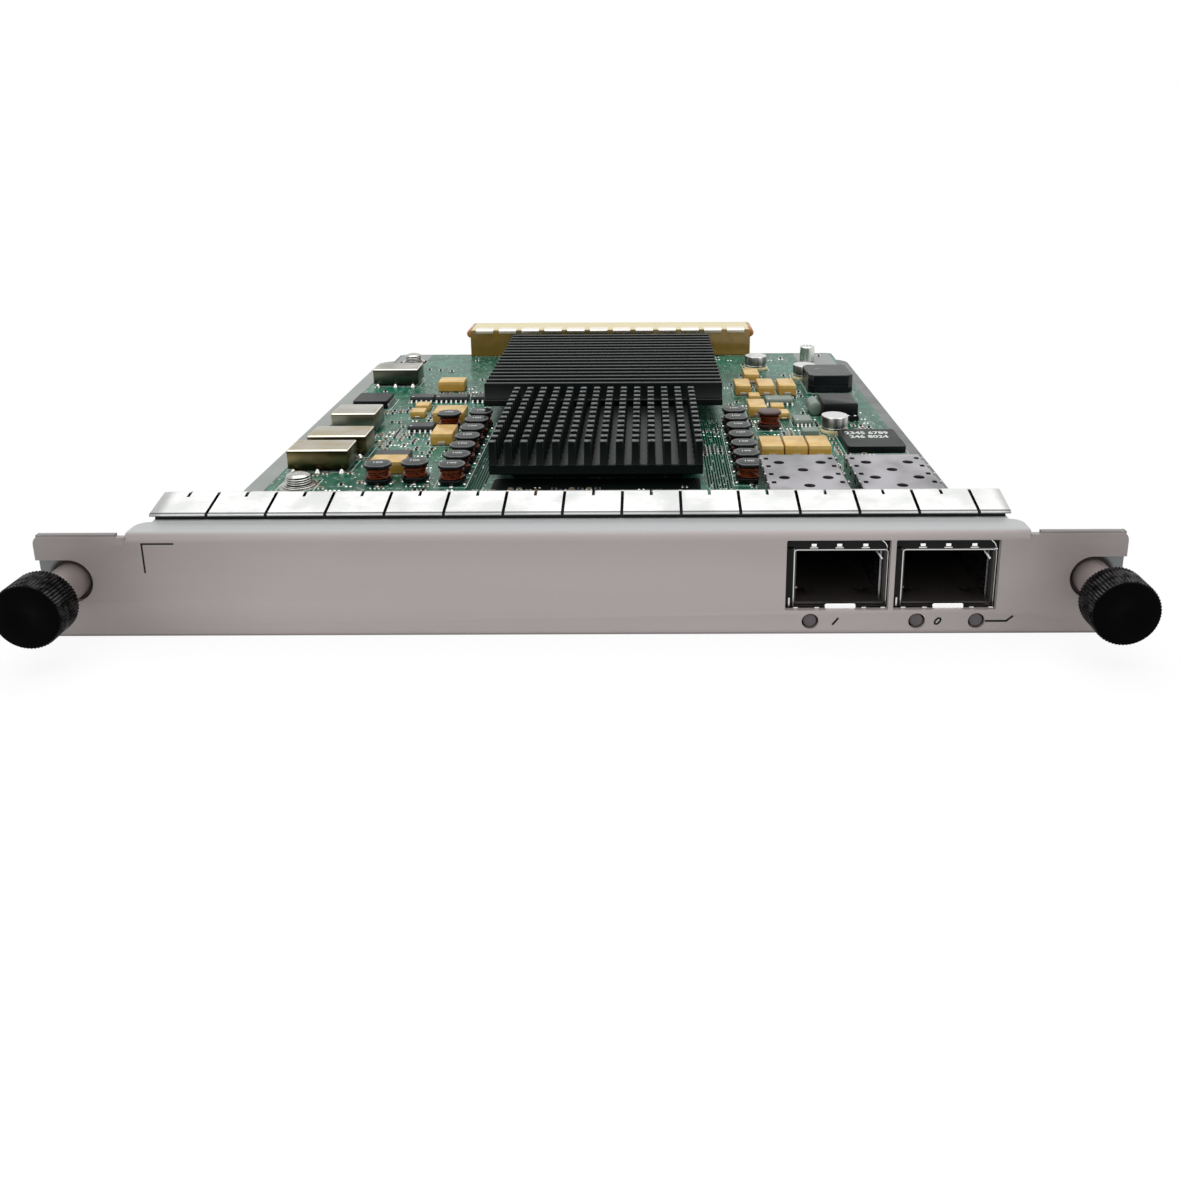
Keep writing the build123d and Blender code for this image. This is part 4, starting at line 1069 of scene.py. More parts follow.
class CARD_OT_finger_strip(CardOperator, bpy.types.Operator):
    """Spring-finger strip: a profile carried along x, left open at the slots and rear notches"""

    bl_idname = "card.finger_strip"
    bl_label = "Spring-finger strip"

    def execute(self, context):
        low, high = box_mm("emi_finger_strip")
        pitch = context.scene.card_settings.finger_pitch / MM
        base = PANEL_HIGH[2]
        corners = [(low[1] + 1.0, base + 0.62), (low[1] + 0.12, base + 0.50), (low[1], base + 0.95),
                   (low[1] + 6.3, high[2] - 0.02), (high[1] - 0.15, base + 1.95), (high[1], base + 0.05),
                   (high[1] - 1.6, base + 0.05)]
        distance, line, cuts = bent_line(corners, 0.22, 4)
        rear_bend, crest = cuts[3 * 7], cuts[2 * 7]
        along = np.unique(np.round([0.0, *cuts, crest - 1.3, rear_bend - 0.4, distance[-1]], 4))
        line = np.stack([np.interp(along, distance, way) for way in line.T], -1)
        middle_along = (along[1:] + along[:-1]) / 2
        slots = np.arange(low[0] + 8.75, high[0] - 2, pitch)
        notches = np.arange(low[0] + 8.75 - pitch / 2, high[0] - 1, pitch)
        edges = np.concatenate([slots - 0.24, slots + 0.24, notches - 0.24, notches + 0.24,
                                [low[0], high[0]]])
        edges = np.sort(edges[(edges >= low[0]) & (edges <= high[0])])
        middle = (edges[1:] + edges[:-1]) / 2
        in_slot = (np.abs(middle[:, None] - slots).min(1) < 0.15)[:, None]
        in_notch = (np.abs(middle[:, None] - notches).min(1) < 0.15)[:, None]
        solid = ~(in_slot & (middle_along < rear_bend - 0.5))
        solid &= ~(in_notch & (middle_along > crest - 1.3) & (middle_along < distance[-1] - 2.2))
        points = np.stack([
            np.broadcast_to(edges[:, None], (len(edges), len(line))),
            np.broadcast_to(line[:, 0], (len(edges), len(line))),
            np.broadcast_to(line[:, 1], (len(edges), len(line)))], -1)
        across, step = np.nonzero(solid)
        first = across * len(line) + step
        quads = np.stack([first, first + len(line), first + len(line) + 1, first + 1], -1)
        bent = bpy.data.meshes.new("strip")
        bent.from_pydata((points.reshape(-1, 3) * MM).tolist(), [], quads.tolist())
        work = bmesh.new()
        work.from_mesh(bent)
        bmesh.ops.delete(work, geom=[v for v in work.verts if not v.link_faces], context="VERTS")
        work.to_mesh(bent)
        work.free()
        shell = Shell()
        shell.take(firm(bent, 0.18, 0.05, 1))
        # black adhesive tape under the strip, which also stands in for the shade beneath the lip
        tape_and_shade = ((low[0] + high[0]) / 2, (low[1] + high[1]) / 2, base + 0.01)
        slab(shell, tape_and_shade, ((high[0] - low[0]) / 2 - 0.7, (high[1] - low[1]) / 2 - 0.35), 0.1, 0.42, 1, 1)
        piece("spring_finger_strip", shell, ["bright strip", "dark print"], replaced=["emi_finger_strip"],
              sharp=32.0)
        return {"FINISHED"}


class CARD_OT_carrier(CardOperator, bpy.types.Operator):
    """Finishes of the tray, brackets, chips and pads whose CAD shapes stay"""

    bl_idname = "card.carrier"
    bl_label = "Tray and brackets"

    def execute(self, context):
        dress("tray steel", "carrier_tray")
        dress("bracket steel", "end_bracket_left", "end_bracket_right")
        dress("nickel", "retaining_ring_left", "retaining_ring_right")
        dress("chip resin", "processor_chip_front", "processor_chip_rear")
        dress("thermal pad", "thermal_pads")
        dress("black plastic", "host_connector_left", "host_connector_right")
        dress("solder resist", "circuit_board")
        return {"FINISHED"}


class CARD_OT_thumbscrews(CardOperator, bpy.types.Operator):
    """Thumbscrews: fluted knob, threaded screw, ferrule and coil spring about the screw's axis"""

    bl_idname = "card.thumbscrews"
    bl_label = "Thumbscrews"

    def execute(self, context):
        look = context.scene.card_settings
        pitch = look.thread_pitch / MM
        for side in ("left", "right"):
            low, high = box_mm(f"thumbscrew_knob_{side}")
            radius = (high[0] - low[0]) / 2
            axis = ((low[0] + high[0]) / 2, 0.0, SCREW_Z)
            front, back = low[1], high[1]
            spring_low, spring_high = box_mm(f"thumbscrew_spring_{side}")
            flutes = look.knob_flutes
            sides = flutes * 6
            wave = 0.5 + 0.5 * np.cos(np.arange(sides) * 2 * math.pi / 6)
            wave = wave ** 0.6
            profile = [(front + 0.08, 0.25, 0), (front + 0.08, 1.1, 0), (front, 1.25, 0),
                       (front, radius - 0.42, 0), (front + 0.06, radius - 0.24, 0),
                       (front + 0.20, radius - 0.14, 0.3), (front + 0.34, radius, 1),
                       (back - 0.34, radius, 1), (back - 0.16, radius - 0.12, 1),
                       (back - 0.04, radius - 0.4, 0.2), (back, radius - 0.6, 0), (back, 3.4, 0),
                       (back - 0.1, 3.3, 0), (spring_low[1], 3.3, 0), (spring_low[1], 1.45, 0)]
            shape = 1 - np.array([p[2] for p in profile])[:, None] * 0.036 * (1 - wave)
            shell = Shell()
            turned(shell, axis, [p[:2] for p in profile], sides, axis="y", shape=shape)
            piece(f"knob_{side}", shell, ["knob black"], [f"thumbscrew_knob_{side}"],
                  f"screw_{side}", 45.0)

            low, high = box_mm(f"captive_screw_{side}")
            tip = high[1]
            thread = tip - 4.2
            rings = [(low[1], 1.2), (low[1], 1.48), (FACE - 3.12, 1.48), (FACE - 3.1, 1.1),
                     (FACE - 2.5, 1.1), (FACE - 2.48, 1.3), (thread - 0.05, 1.3)]
            around = 24
            climb = np.linspace(thread, tip - 0.05, int((tip - thread) / pitch * 8) + 1)
            turn = np.arange(around) / around
            phase = np.mod(climb[:, None] / pitch - turn[None, :], 1.0)
            cut = 0.27 * (1 - np.abs(2 * phase - 1))
            taper = np.clip((tip - climb) / 0.5, 0, 1)[:, None] * 0.35 + 0.65
            radii = (1.5 - cut) * taper
            heights = [r[0] for r in rings] + climb.tolist() + [tip]
            body = np.concatenate([
                np.repeat(np.array([r[1] for r in rings])[:, None], around, 1), radii,
                np.full((1, around), 0.7)])
            shell = Shell()
            turned(shell, axis, np.c_[heights, np.ones(len(heights))], around, axis="y", shape=body)
            piece(f"screw_{side}", shell, ["nickel"], [f"captive_screw_{side}"], f"screw_{side}",
                  60.0)

            low, high = box_mm(f"thumbscrew_ferrule_{side}")
            lip = float(spring_high[1])
            wide = (high[0] - low[0]) / 2
            rings = [(low[1] + 0.1, 2.32), (low[1], 2.4), (low[1], wide - 0.15), (low[1] + 0.15, wide),
                     (high[1] - 0.1, wide), (high[1], wide - 0.1), (high[1], 2.3), (lip + 0.8, 2.3),
                     (lip + 0.8, 1.65), (lip, 1.65), (lip, 2.3), (low[1] + 0.3, 2.3)]
            shell = Shell()
            closed = rings + [rings[0]]
            turned(shell, axis, closed, 40, axis="y", caps=(False, False))
            piece(f"ferrule_{side}", shell, ["ferrule grey"], [f"thumbscrew_ferrule_{side}"])

            length = spring_high[1] - spring_low[1]
            shell = Shell()
            start = (axis[0], spring_low[1] + 0.2, axis[2])
            coil(shell, start, 1.88, 0.4, 7, length - 0.4, axis="y", around=8, per_turn=24)
            spring = piece(f"spring_{side}", shell, ["nickel"], [f"thumbscrew_spring_{side}"],
                           sharp=60.0)
            anchor = (axis[0] * MM, lip * MM, axis[2] * MM)
            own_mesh(spring)
        return {"FINISHED"}


class CARD_OT_cages(CardOperator, bpy.types.Operator):
    """Transceiver cages: folded sheet with vents and edge notches, bright mouth rim and spring tabs"""

    bl_idname = "card.cages"
    bl_label = "Transceiver cages"

    def execute(self, context):
        for side, x in zip(("left", "right"), port_places()):
            low, high = box_mm(f"transceiver_cage_{side}")
            front, rear = low[1], high[1]
            base, top, half = BOARD, CAGE_TOP, CAGE_HALF
            start = front + 1.7
            shell = Shell()
            tube = bent_line([(half, base), (half, top), (-half, top), (-half, base)], 0.4, 4)
            total = tube[0][-1]
            roof = total / 2
            outline = np.array([(start, 0), (rear, 0), (rear, total), (start, total)])
            holes = []
            for row in range(9):
                y = rear - 4.8 - 4.4 * row
                for shift in ((-3.9, 3.9) if row % 2 == 0 else (0.0,)):
                    holes.append(arc((y, roof + shift), 1.0, 0, 345, 24))
            for row in range(9):
                y = rear - 2.4 - 4.6 * row
                for away in (-6.05, 6.05, -8.4, 8.4):
                    holes.append(oblong((y, roof + away), (0.62, 0.42), 0.1, 3))

            shell.take(sheet_metal([outline, *holes], tube[2], across_card(tube, x), 0.28, 0.04, 1))
            stack(shell, (x, (start + rear) / 2, base), (half - 0.3, (rear - start) / 2), 0.1,
                  [(0.02, 0), (0.3, 0)], 0)
            slab(shell, (x, rear - 0.35, base + 4.85), (half - 0.35, 4.55), 0.3, 0.3, 2, axis="y")
            hooks = np.array([(x + sign * (half + 0.06), rear - 2.4 - 4.6 * row, top - 0.5)
                              for row in range(9) for sign in (-1, 1)])
            slab(shell, hooks, (0.14, 0.35), 0.05, 0.62, 1, 1)

            shift = 0.5
            mouth = bent_line([(x + shift + 7.2, base + 0.45), (x + shift + 7.2, top),
                               (x + shift - 7.0, top), (x + shift - 7.0, base + 0.45)], 0.5, 5)
            length = mouth[0][-1]
            rim_out = np.array([(front - 0.15, 0), (start + 0.1, 0), (start + 0.1, length),
                                (front - 0.15, length)])

            shell.take(sheet_metal([rim_out], mouth[2], across_card(mouth), 0.18, 0.05, 2), 1)
            # painted shade: dark floor plate and liner inside the mouth
            slab(shell, (x + shift + 0.1, front + 0.9, base + 0.42), (7.0, 0.8), 0.1, 0.12, 0, 3)
            inner = (x + shift + 0.1, rear - 0.4, (base + 0.6 + top) / 2)
            stack(shell, inner, (6.95, (top - base - 0.6) / 2 - 0.16), 0.4,
                  [(0, -0.3), (front - rear + 0.75, -0.3), (front - rear + 0.7, 0.0)], 2, 3, (False, False),
                  axis="y")

            deep = front - 0.25
            shade_bars = (
                ((x, top + 1.15), (8.0, 1.02)), ((x - 7.3, base + 5.0), (0.72, 5.2)),
                ((x + 8.05, base + 5.0), (0.32, 5.2)), ((x, base + 0.15), (8.0, 0.24)))
            for (across, up), half_bar in shade_bars:
                slab(shell, (across, deep + 0.12, up), half_bar, 0.02, 0.3, 0, 5, axis="y")
            tabs = np.array([(x + dx, deep - 0.05, top + 0.72) for dx in (-3.55, 0.25, 4.15)])
            stack(shell, tabs, (0.42, 0.27), 0.06, [(0, -0.05), (0.08, 0.0), (0.14, 0)], 1, 2, axis="y")
            slab(shell, tabs - (0, 0, 0.42), (0.60, 0.09), 0.02, 0.1, 1, 1, axis="y")
            corner_wire = arc((x + 5.9, top + 0.1), 1.5, 10, 62, 8)
            wire(shell, np.c_[corner_wire[:, 0], np.full(8, deep), corner_wire[:, 1]], 0.18, 2)
            stay = np.linspace((x + 6.0, front + 1.6, top - 0.5), (x + 6.9, front + 0.5, top - 1.9), 6)
            wire(shell, stay, 0.34, 2)
            stack(shell, (x - 7.05, deep - 0.02, base + 1.3), (0.16, 0.75), 0.1,
                  [(0, -0.04), (0.06, 0), (0.12, 0)], 1, 1, axis="y")
            slab(shell, (x - 6.1, front + 1.5, base + 2.9), (0.45, 0.10), 0.03, 0.1, 1, 0, axis="y")
            stack(shell, (x + 0.62, front - 1.0, base + 0.84), (2.34, 0.47), 0.3,
                  [(0, -0.05), (0.05, 0), (0.16, 0)], 3, 2, axis="y")
            lip = [(0.0, 0.3), (0.5, 0.32), (0.9, 0.45)]
            strips(shell, (x + 0.62, front, base + 0.1), (0.0, -1.0), lip, 4.4, 0.12, 1)
            feet = np.array([(x + dx, front - 0.9, base + 0.60) for dx in (-6.1, -2.9, 4.2, 7.1)])
            slab(shell, feet, (0.34, 0.13), 0.03, 0.12, 1, 2, axis="y")
            leaf = [(0.0, 0.0), (3.0, 0.9), (4.2, 1.9), (4.6, 1.7)]
            leaves = np.array([(x + dx, start + 4.6, base + 0.7) for dx in (-4.8, 4.3)])
            strips(shell, leaves, (0.25, -1.0), leaf, 1.7, 0.14, 4)
            # painted shade: a dark strip on the board between the cages
            slab(shell, (x - 8.12, (start + rear) / 2, base), (0.95, (rear - start) / 2), 0.1, 0.04, 0, 5)
            piece(f"cage_{side}", shell, ["cage metal", "cage rim", "bright tab", "cage inside",
                                          "spring steel", "dark print"], [f"transceiver_cage_{side}"])
        return {"FINISHED"}


class CARD_OT_heat_sinks(CardOperator, bpy.types.Operator):
    """Heat sinks: a grid of chamfered pins, and a row of thin plate fins, each on its base"""

    bl_idname = "card.heat_sinks"
    bl_label = "Heat sinks"

    def execute(self, context):
        low, high, middle, half = block_mm("heat_sink_front")
        columns, rows, pin = 14, 13, 1.6
        x = np.linspace(low[0] + pin / 2, high[0] - pin / 2, columns)
        y = np.linspace(low[1] + pin / 2, high[1] - pin / 2, rows)
        grid = np.stack(np.meshgrid(x, y), -1).reshape(-1, 2)
        base = low[2] + 2.1
        shell = Shell()
        stack(shell, (middle[0], middle[1], low[2]), half[:2], 0.2, edge_rings(0, 2.1, 0.15), 2)
        places = np.c_[grid, np.full(len(grid), base - 0.05)]
        tall = high[2] - base + 0.05
        stack(shell, places, (pin / 2, pin / 2), 0.16,
              [(0, 0.1), (0.2, 0.0), (tall - 0.14, -0.04), (tall, -0.16)], 1)
        piece("pin_heat_sink", shell, ["anodised pins"], ["heat_sink_front"])

        low, high, middle, half = block_mm("heat_sink_rear")
        pitch, thick = 3.75, 1.1
        count = int((high[1] - low[1] - thick) / pitch) + 1
        y = middle[1] + (np.arange(count) - (count - 1) / 2) * pitch
        shell = Shell()
        stack(shell, (middle[0], middle[1], low[2]), half[:2], 0.2, edge_rings(0, 1.6, 0.15), 2)
        fins = np.c_[np.full(count, middle[0]), y, np.full(count, low[2] + 1.55)]
        tall = high[2] - low[2] - 1.55
        stack(shell, fins, (half[0] - 0.01, thick / 2), 0.15,
              [(0, 0.12), (0.25, 0.0), (tall - 0.16, -0.03), (tall, -0.18)], 2)
        piece("fin_heat_sink", shell, ["anodised fins"], ["heat_sink_rear"])
        return {"FINISHED"}


class CARD_OT_inductors(CardOperator, bpy.types.Operator):
    """Drum inductors: a ferrite drum with a painted highlight on its rim, copper turns round its waist,
    a lead end and a value
    """

    bl_idname = "card.inductors"
    bl_label = "Drum inductors"

    def execute(self, context):
        for node in ("inductors_left", "inductors_right", "inductors_single"):
            middles, sizes = solids(node)
            shell = Shell()
            tall = float(sizes[0][2])
            sides = 32
            angles = np.arange(sides) * 2 * math.pi / sides
            shape = np.minimum(1.0, 0.88 / np.maximum(np.abs(np.sin(angles)), 1e-6))
            lower = [(0.12, 2.35), (0.12, 2.62), (0.3, 2.78), (1.0, 2.86), (1.15, 2.75), (1.15, 1.5)]
            upper = [(tall - 0.80, 1.5), (tall - 0.78, 2.60), (tall - 0.62, 2.84), (tall - 0.26, 2.86),
                     (tall - 0.06, 2.68), (tall, 2.42), (tall, 1.2)]
            for index, (x, y, _) in enumerate(middles):
                brown = node == "inductors_single" and x > 0
                ferrite = 3 if brown else 0
                place = (x, y, BOARD)
                turned(shell, place, lower, sides, ferrite, shape=np.tile(shape, (len(lower), 1)))
                turned(shell, place, upper, sides, ferrite, shape=np.tile(shape, (len(upper), 1)))
                if not brown:
                    # painted highlight: a pale ring on the drum's top edge
                    rim = [(tall - 0.10, 2.76), (tall - 0.05, 2.70), (tall + 0.004, 2.47),
                           (tall + 0.004, 2.40)]
                    turned(shell, place, rim, sides, 5, (False, False), shape=np.tile(shape, (len(rim), 1)))
                turned(shell, place, [(1.1, 1.9), (tall - 1.0, 1.9)], 16, 1)
                coil(shell, (x, y, BOARD + 1.32), 2.02, 0.38, 5, tall - 2.35, 1, start=index * 0.9)
                coil(shell, (x, y, BOARD + 1.30), 2.38, 0.36, 1.6, 0.45, 1, start=index * 1.3 + 1.0)
                coil(shell, (x, y, BOARD + tall - 1.45), 2.34, 0.36, 1.6, 0.40, 1, start=index * 1.7 + 2.0)
                lean = index * 0.7 - 0.4
                angle = np.linspace(-1.45 + lean * 0.2, -0.35, 10)
                lead = np.stack([x + 2.55 * np.cos(angle), y + 2.55 * np.sin(angle),
                                 BOARD + np.linspace(tall - 1.35, 0.7, 10)], -1)
                wire(shell, lead, 0.26, 1)
                stack(shell, [(x - 2.3, y, BOARD), (x + 2.3, y, BOARD)], (0.55, 1.1), 0.1,
                      [(0.0, 0.15), (0.14, 0.0)], 1, 2)
                turned(shell, (x + 0.2, y - 2.65, BOARD), [(0, 0.5), (0.2, 0.42), (0.34, 0.15)], 10, 2)
                if not brown:
                    spot = (x - 0.1, y + 0.25, BOARD + tall + 0.012)
                    digits(shell, "100", 1.22, spot, 4, stretch=1.2, weight=0.018)
            piece(node + "_wound", shell, ["ferrite", "copper winding", "tinned", "brown ferrite",
                                           "white print", "worn edge"], [node])
        return {"FINISHED"}


class CARD_OT_capacitors(CardOperator, bpy.types.Operator):
    """Capacitors: moulded tantalum blocks with folded ends, and electrolytic cans on their bases"""

    bl_idname = "card.capacitors"
    bl_label = "Capacitors"

    def execute(self, context):
        for row in ("left", "right", "small"):
            middles, sizes = solids(f"tantalums_{row}")
            tall = float(sizes[0][2])
            shell = Shell()
            lengthwise = sizes[:, 1] >= sizes[:, 0]
            half = sizes[:, :2] / 2
            half = half - np.where(lengthwise[:, None], (0.0, 0.12), (0.12, 0.0))
            places = on_board(middles)
            stack(shell, places, half, 0.12,
                  [(0.18, -0.12), (tall * 0.45, 0.0), (tall - 0.10, -0.10), (tall, -0.20)], 2)
            out = np.where(lengthwise[:, None], (0.0, 1.0), (1.0, 0.0))
            reach = np.where(lengthwise, sizes[:, 1], sizes[:, 0]) / 2
            for sign in (1, -1):
                start = on_board(middles[:, :2] + out * (reach * sign)[:, None] - out * sign * 0.9)
                width = 1.7 if tall > 2 else 1.2
                path = [(0.0, 0.06), (0.80, 0.06), (0.90, 0.16), (0.90, tall * 0.30), (0.80, tall * 0.36)]
                strips(shell, start, out * sign, path, width, 0.10, 1)
            resin = "tantalum resin" if tall > 2 else "small tantalum resin"
            piece(f"tantalum_caps_{row}", shell, [resin, "dull tin"], [f"tantalums_{row}"])

        middles, sizes = solids("electrolytic_cans")
        radius, top = sizes[0][0] / 2, float(middles[0][2] + sizes[0][2] / 2) - BOARD
        places = on_board(middles)
        shell = Shell()
        rings = [(0.8, radius - 0.25), (0.9, radius - 0.05), (1.25, radius), (1.4, radius - 0.16),
                 (1.6, radius - 0.16), (1.75, radius), (top - 0.35, radius), (top - 0.10, radius - 0.10),
                 (top, radius - 0.38), (top - 0.03, radius - 0.62), (top - 0.03, 0.4)]
        turned(shell, places, rings, 40)
        piece("electrolytic_can_tops", shell, ["can aluminium"], ["electrolytic_cans"])
        _, base = solids("electrolytic_bases")
        shell = Shell()
        stack(shell, places, base[0][:2] / 2, 1.5, [(0.05, -0.08), (0.12, 0), (0.7, 0), (0.8, -0.1)], 1)
        turned(shell, places, [(0.78, radius + 0.02), (0.84, radius - 0.1)], 32, 0)
        for sign in (1, -1):
            slab(shell, places + (sign * 2.6, 0, 0), (0.95, 0.45), 0.05, 0.12, 1, 1)
        piece("electrolytic_can_bases", shell, ["ivory top", "tinned"], ["electrolytic_bases"])
        return {"FINISHED"}


def gull_wings(shell, middle, half, sides, pitch, body_low, width, finish_index, reach=0.85):
    """Leads along chosen sides of a chip: out of the body, down, and a foot on the board."""
    path = [(0.0, body_low + 0.55), (reach * 0.35, body_low + 0.52), (reach * 0.55, 0.30),
            (reach * 0.7, 0.09), (reach + 0.15, 0.07)]
    for out in sides:
        out = np.array(out, float)
        length = half[1] if out[0] else half[0]
        reach_out = half[0] if out[0] else half[1]
        count = max(2, int((2 * length - 0.6) / pitch) + 1)
        along = (np.arange(count) - (count - 1) / 2) * pitch
        across = np.array([-out[1], out[0]])
        starts = np.c_[np.asarray(middle)[:2] + out * reach_out + along[:, None] * across,
                       np.full(count, BOARD)]
        strips(shell, starts, out, path, width, 0.12, finish_index)


class CARD_OT_chips(CardOperator, bpy.types.Operator):
    """Chips: moulded bodies with a dimple and bent leads, and plain digits on the right-hand one"""

    bl_idname = "card.chips"
    bl_label = "Chips"

    def execute(self, context):
        middles, sizes = solids("small_chips")
        shell = Shell()
        for middle, size in zip(middles, sizes):
            half = size[:2] / 2
            place = (middle[0], middle[1], BOARD)
            resin = 3 if middle[0] > 44 else 0
            body = [(0.15, -0.1), (0.7, 0.0), (1.38, -0.08), (1.5, -0.18)]
            stack(shell, place, half, 0.1, body, 1, resin)
            pitch = 1.27 if size[0] > 5 else 0.95
            gull_wings(shell, middle, half, ((0, 1), (0, -1)), pitch, 0.15, 0.42, 1, 1.0)
            dots = np.array([(middle[0] - half[0] + 0.8, middle[1] - half[1] + 0.8, BOARD + 1.5)])
            turned(shell, dots, [(-0.02, 0.3), (0.01, 0.28)], 10, 2)
        piece("flat_pack_chips", shell, ["grey resin", "tinned", "white print", "green resin"],
              ["small_chips"])

        for node, name, pitch in (("memory_chip_left", "flat_chip_left", 0.8),
                                  ("line_chip_right", "flat_chip_right", 0.65)):
            _, high, middle, half = block_mm(node)
            line_chip = node == "line_chip_right"
            half = half[:2] - ((0.0, 0.0) if line_chip else (0.55, 0.3))
            tall = high[2] - BOARD
            shell = Shell()
            stack(shell, (middle[0], middle[1], BOARD), half, 0.8,
                  [(0.15, -0.12), (tall * 0.5, 0.0), (tall - 0.1, -0.05), (tall, -0.16)], 2)
            if not line_chip:
                gull_wings(shell, middle, half, ((1, 0), (-1, 0)), pitch, tall * 0.5 - 0.5, 0.3, 1, 0.4)
            else:
                for text, y in (("2345 6789", middle[1] + 3.6), ("246 8024", middle[1] + 0.6)):
                    spot = (middle[0] - 0.4, y, BOARD + tall + 0.012)
                    digits(shell, text, 2.9, spot, 2, stretch=0.80, weight=0.03)
                # painted highlight: a pale line along the chip's front top edge
                stack(shell, (middle[0], middle[1] - half[1] + 0.22, BOARD + tall), (half[0] - 0.6, 0.07),
                      0.02, [(-0.06, 0), (0.010, 0)], 0, 3)
            piece(name, shell, ["chip resin", "tinned", "white print", "worn edge"], [node])
        return {"FINISHED"}


class CARD_OT_power_modules(CardOperator, bpy.types.Operator):
    """Shielded power modules: drawn cans with rolled edges over a dark base, solder mounds in front"""

    bl_idname = "card.power_modules"
    bl_label = "Power modules"

    def execute(self, context):
        looks = {"power_module_front": "bronze can", "power_module_second": "bronze can",
                 "power_module_third": "grey can", "power_module_rear": "olive can"}
        feet = Shell()
        for node, look in looks.items():
            low, high, middle, half = block_mm(node)
            tall = high[2] - BOARD
            shell = Shell()
            place = (middle[0], middle[1], BOARD)
            stack(shell, place, half[:2], 0.35,
                  [(0.75, -0.30), (0.70, -0.05), (0.78, 0.0), (tall - 0.5, 0.0), (tall - 0.28, -0.06),
                   (tall - 0.1, -0.2), (tall, -0.5), (tall, -1.2)], 3)
            piece(node + "_can", shell, [look], [node], sharp=50.0)
            slab(feet, place, half[:2] - 1.0, 0.2, 0.75, 1, 0)
            count = 3 if node.endswith("rear") else max(2, int(half[0] * 0.6))
            x = middle[0] + np.linspace(-half[0] + 1.4, half[0] - 1.4, count)
            mounds = np.c_[x, np.full(count, low[1] - 0.55), np.full(count, BOARD)]
            turned(feet, mounds, [(0, 0.72), (0.22, 0.66), (0.55, 0.46), (0.80, 0.30), (0.9, 0.1)], 12, 1)
        piece("power_module_bases", feet, ["black plastic", "tinned"], ["power_module_feet"])
        return {"FINISHED"}


class CARD_OT_wound_parts(CardOperator, bpy.types.Operator):
    """Power choke, transformer, crystal and oscillator cans near the right edge"""

    bl_idname = "card.wound_parts"
    bl_label = "Choke and transformer"

    def execute(self, context):
        _, high, middle, half = block_mm("power_choke")
        tall = high[2] - BOARD
        place = (middle[0], middle[1], BOARD)
        shell = Shell()
        stack(shell, place, half[:2], 1.3, [(0.1, -0.2), (0.3, 0), (tall * 0.42, 0.0), (tall * 0.44, -0.12),
                                            (tall * 0.48, -0.12), (tall * 0.5, 0.0), (tall - 0.2, 0.0),
                                            (tall, -0.2)], 1)
        ring = [(-0.05, 4.5), (0.0, 4.5), (0.012, 4.35), (0.012, 4.15), (-0.03, 4.1)]
        turned(shell, (middle[0], middle[1], BOARD + tall), ring, 40, 1)
        corners = np.array([(middle[0] + a * (half[0] - 1.3), middle[1] + b * (half[1] - 1.3), BOARD + tall)
                            for a in (-1, 1) for b in (-1, 1)])
        turned(shell, corners, [(-0.02, 0.62), (0.010, 0.60), (0.010, 0.40), (-0.02, 0.38)], 16, 1)
        turned(shell, (middle[0] - 2.6, middle[1] + 1.6, BOARD + tall), [(-0.02, 0.8), (0.012, 0.75)], 16,
               3)
        for sign in (1, -1):
            slab(shell, (middle[0] + sign * (half[0] - 1.2), middle[1], BOARD), (1.15, 1.6), 0.1, 0.3, 1, 2)
        piece("power_choke_core", shell, ["ferrite", "grey resin", "tinned", "worn edge"], ["power_choke"])

        _, high, middle, half = block_mm("transformer")
        tall = high[2] - BOARD
        place = (middle[0], middle[1], BOARD)
        core = half[:2] - (0.0, 1.4)
        shell = Shell()
        stack(shell, place, core, 0.25, [(0.5, -0.1), (0.7, 0), (tall - 0.5, 0), (tall - 0.2, -0.12),
                                         (tall, -0.35)], 2)
        stack(shell, place, half[:2], 0.2, edge_rings(0.15, 1.4, 0.12), 1, 1)
        for sign in (1, -1):
            x = middle[0] + np.linspace(-half[0] + 0.9, half[0] - 0.9, 5)
            starts = np.c_[x, np.full(5, middle[1] + sign * (half[1] - 1.3)), np.full(5, BOARD)]
            leg = [(0.0, 1.42), (0.9, 1.42), (1.15, 1.2), (1.2, 0.1), (1.3, 0.06)]
            strips(shell, starts, (0.0, sign), leg, 0.5, 0.14, 2)
        piece("transformer_core", shell, ["chip resin", "black plastic", "tinned"], ["transformer"])

        shell = Shell()
        capsule = [(0.0, 0.5), (0.08, 1.3), (0.45, 1.7), (6.8, 1.7), (7.2, 1.3), (7.3, 0.4)]
        turned(shell, (*CRYSTAL, BOARD + 1.75), capsule, 28, axis="y")
        can = [(0.05, -0.1), (0.15, 0), (1.0, 0), (1.2, -0.25)]
        stack(shell, (*OSCILLATOR, BOARD), (1.9, 1.6), 0.3, can, 2)
        piece("crystal_cans", shell, ["green resin"], ())
        return {"FINISHED"}


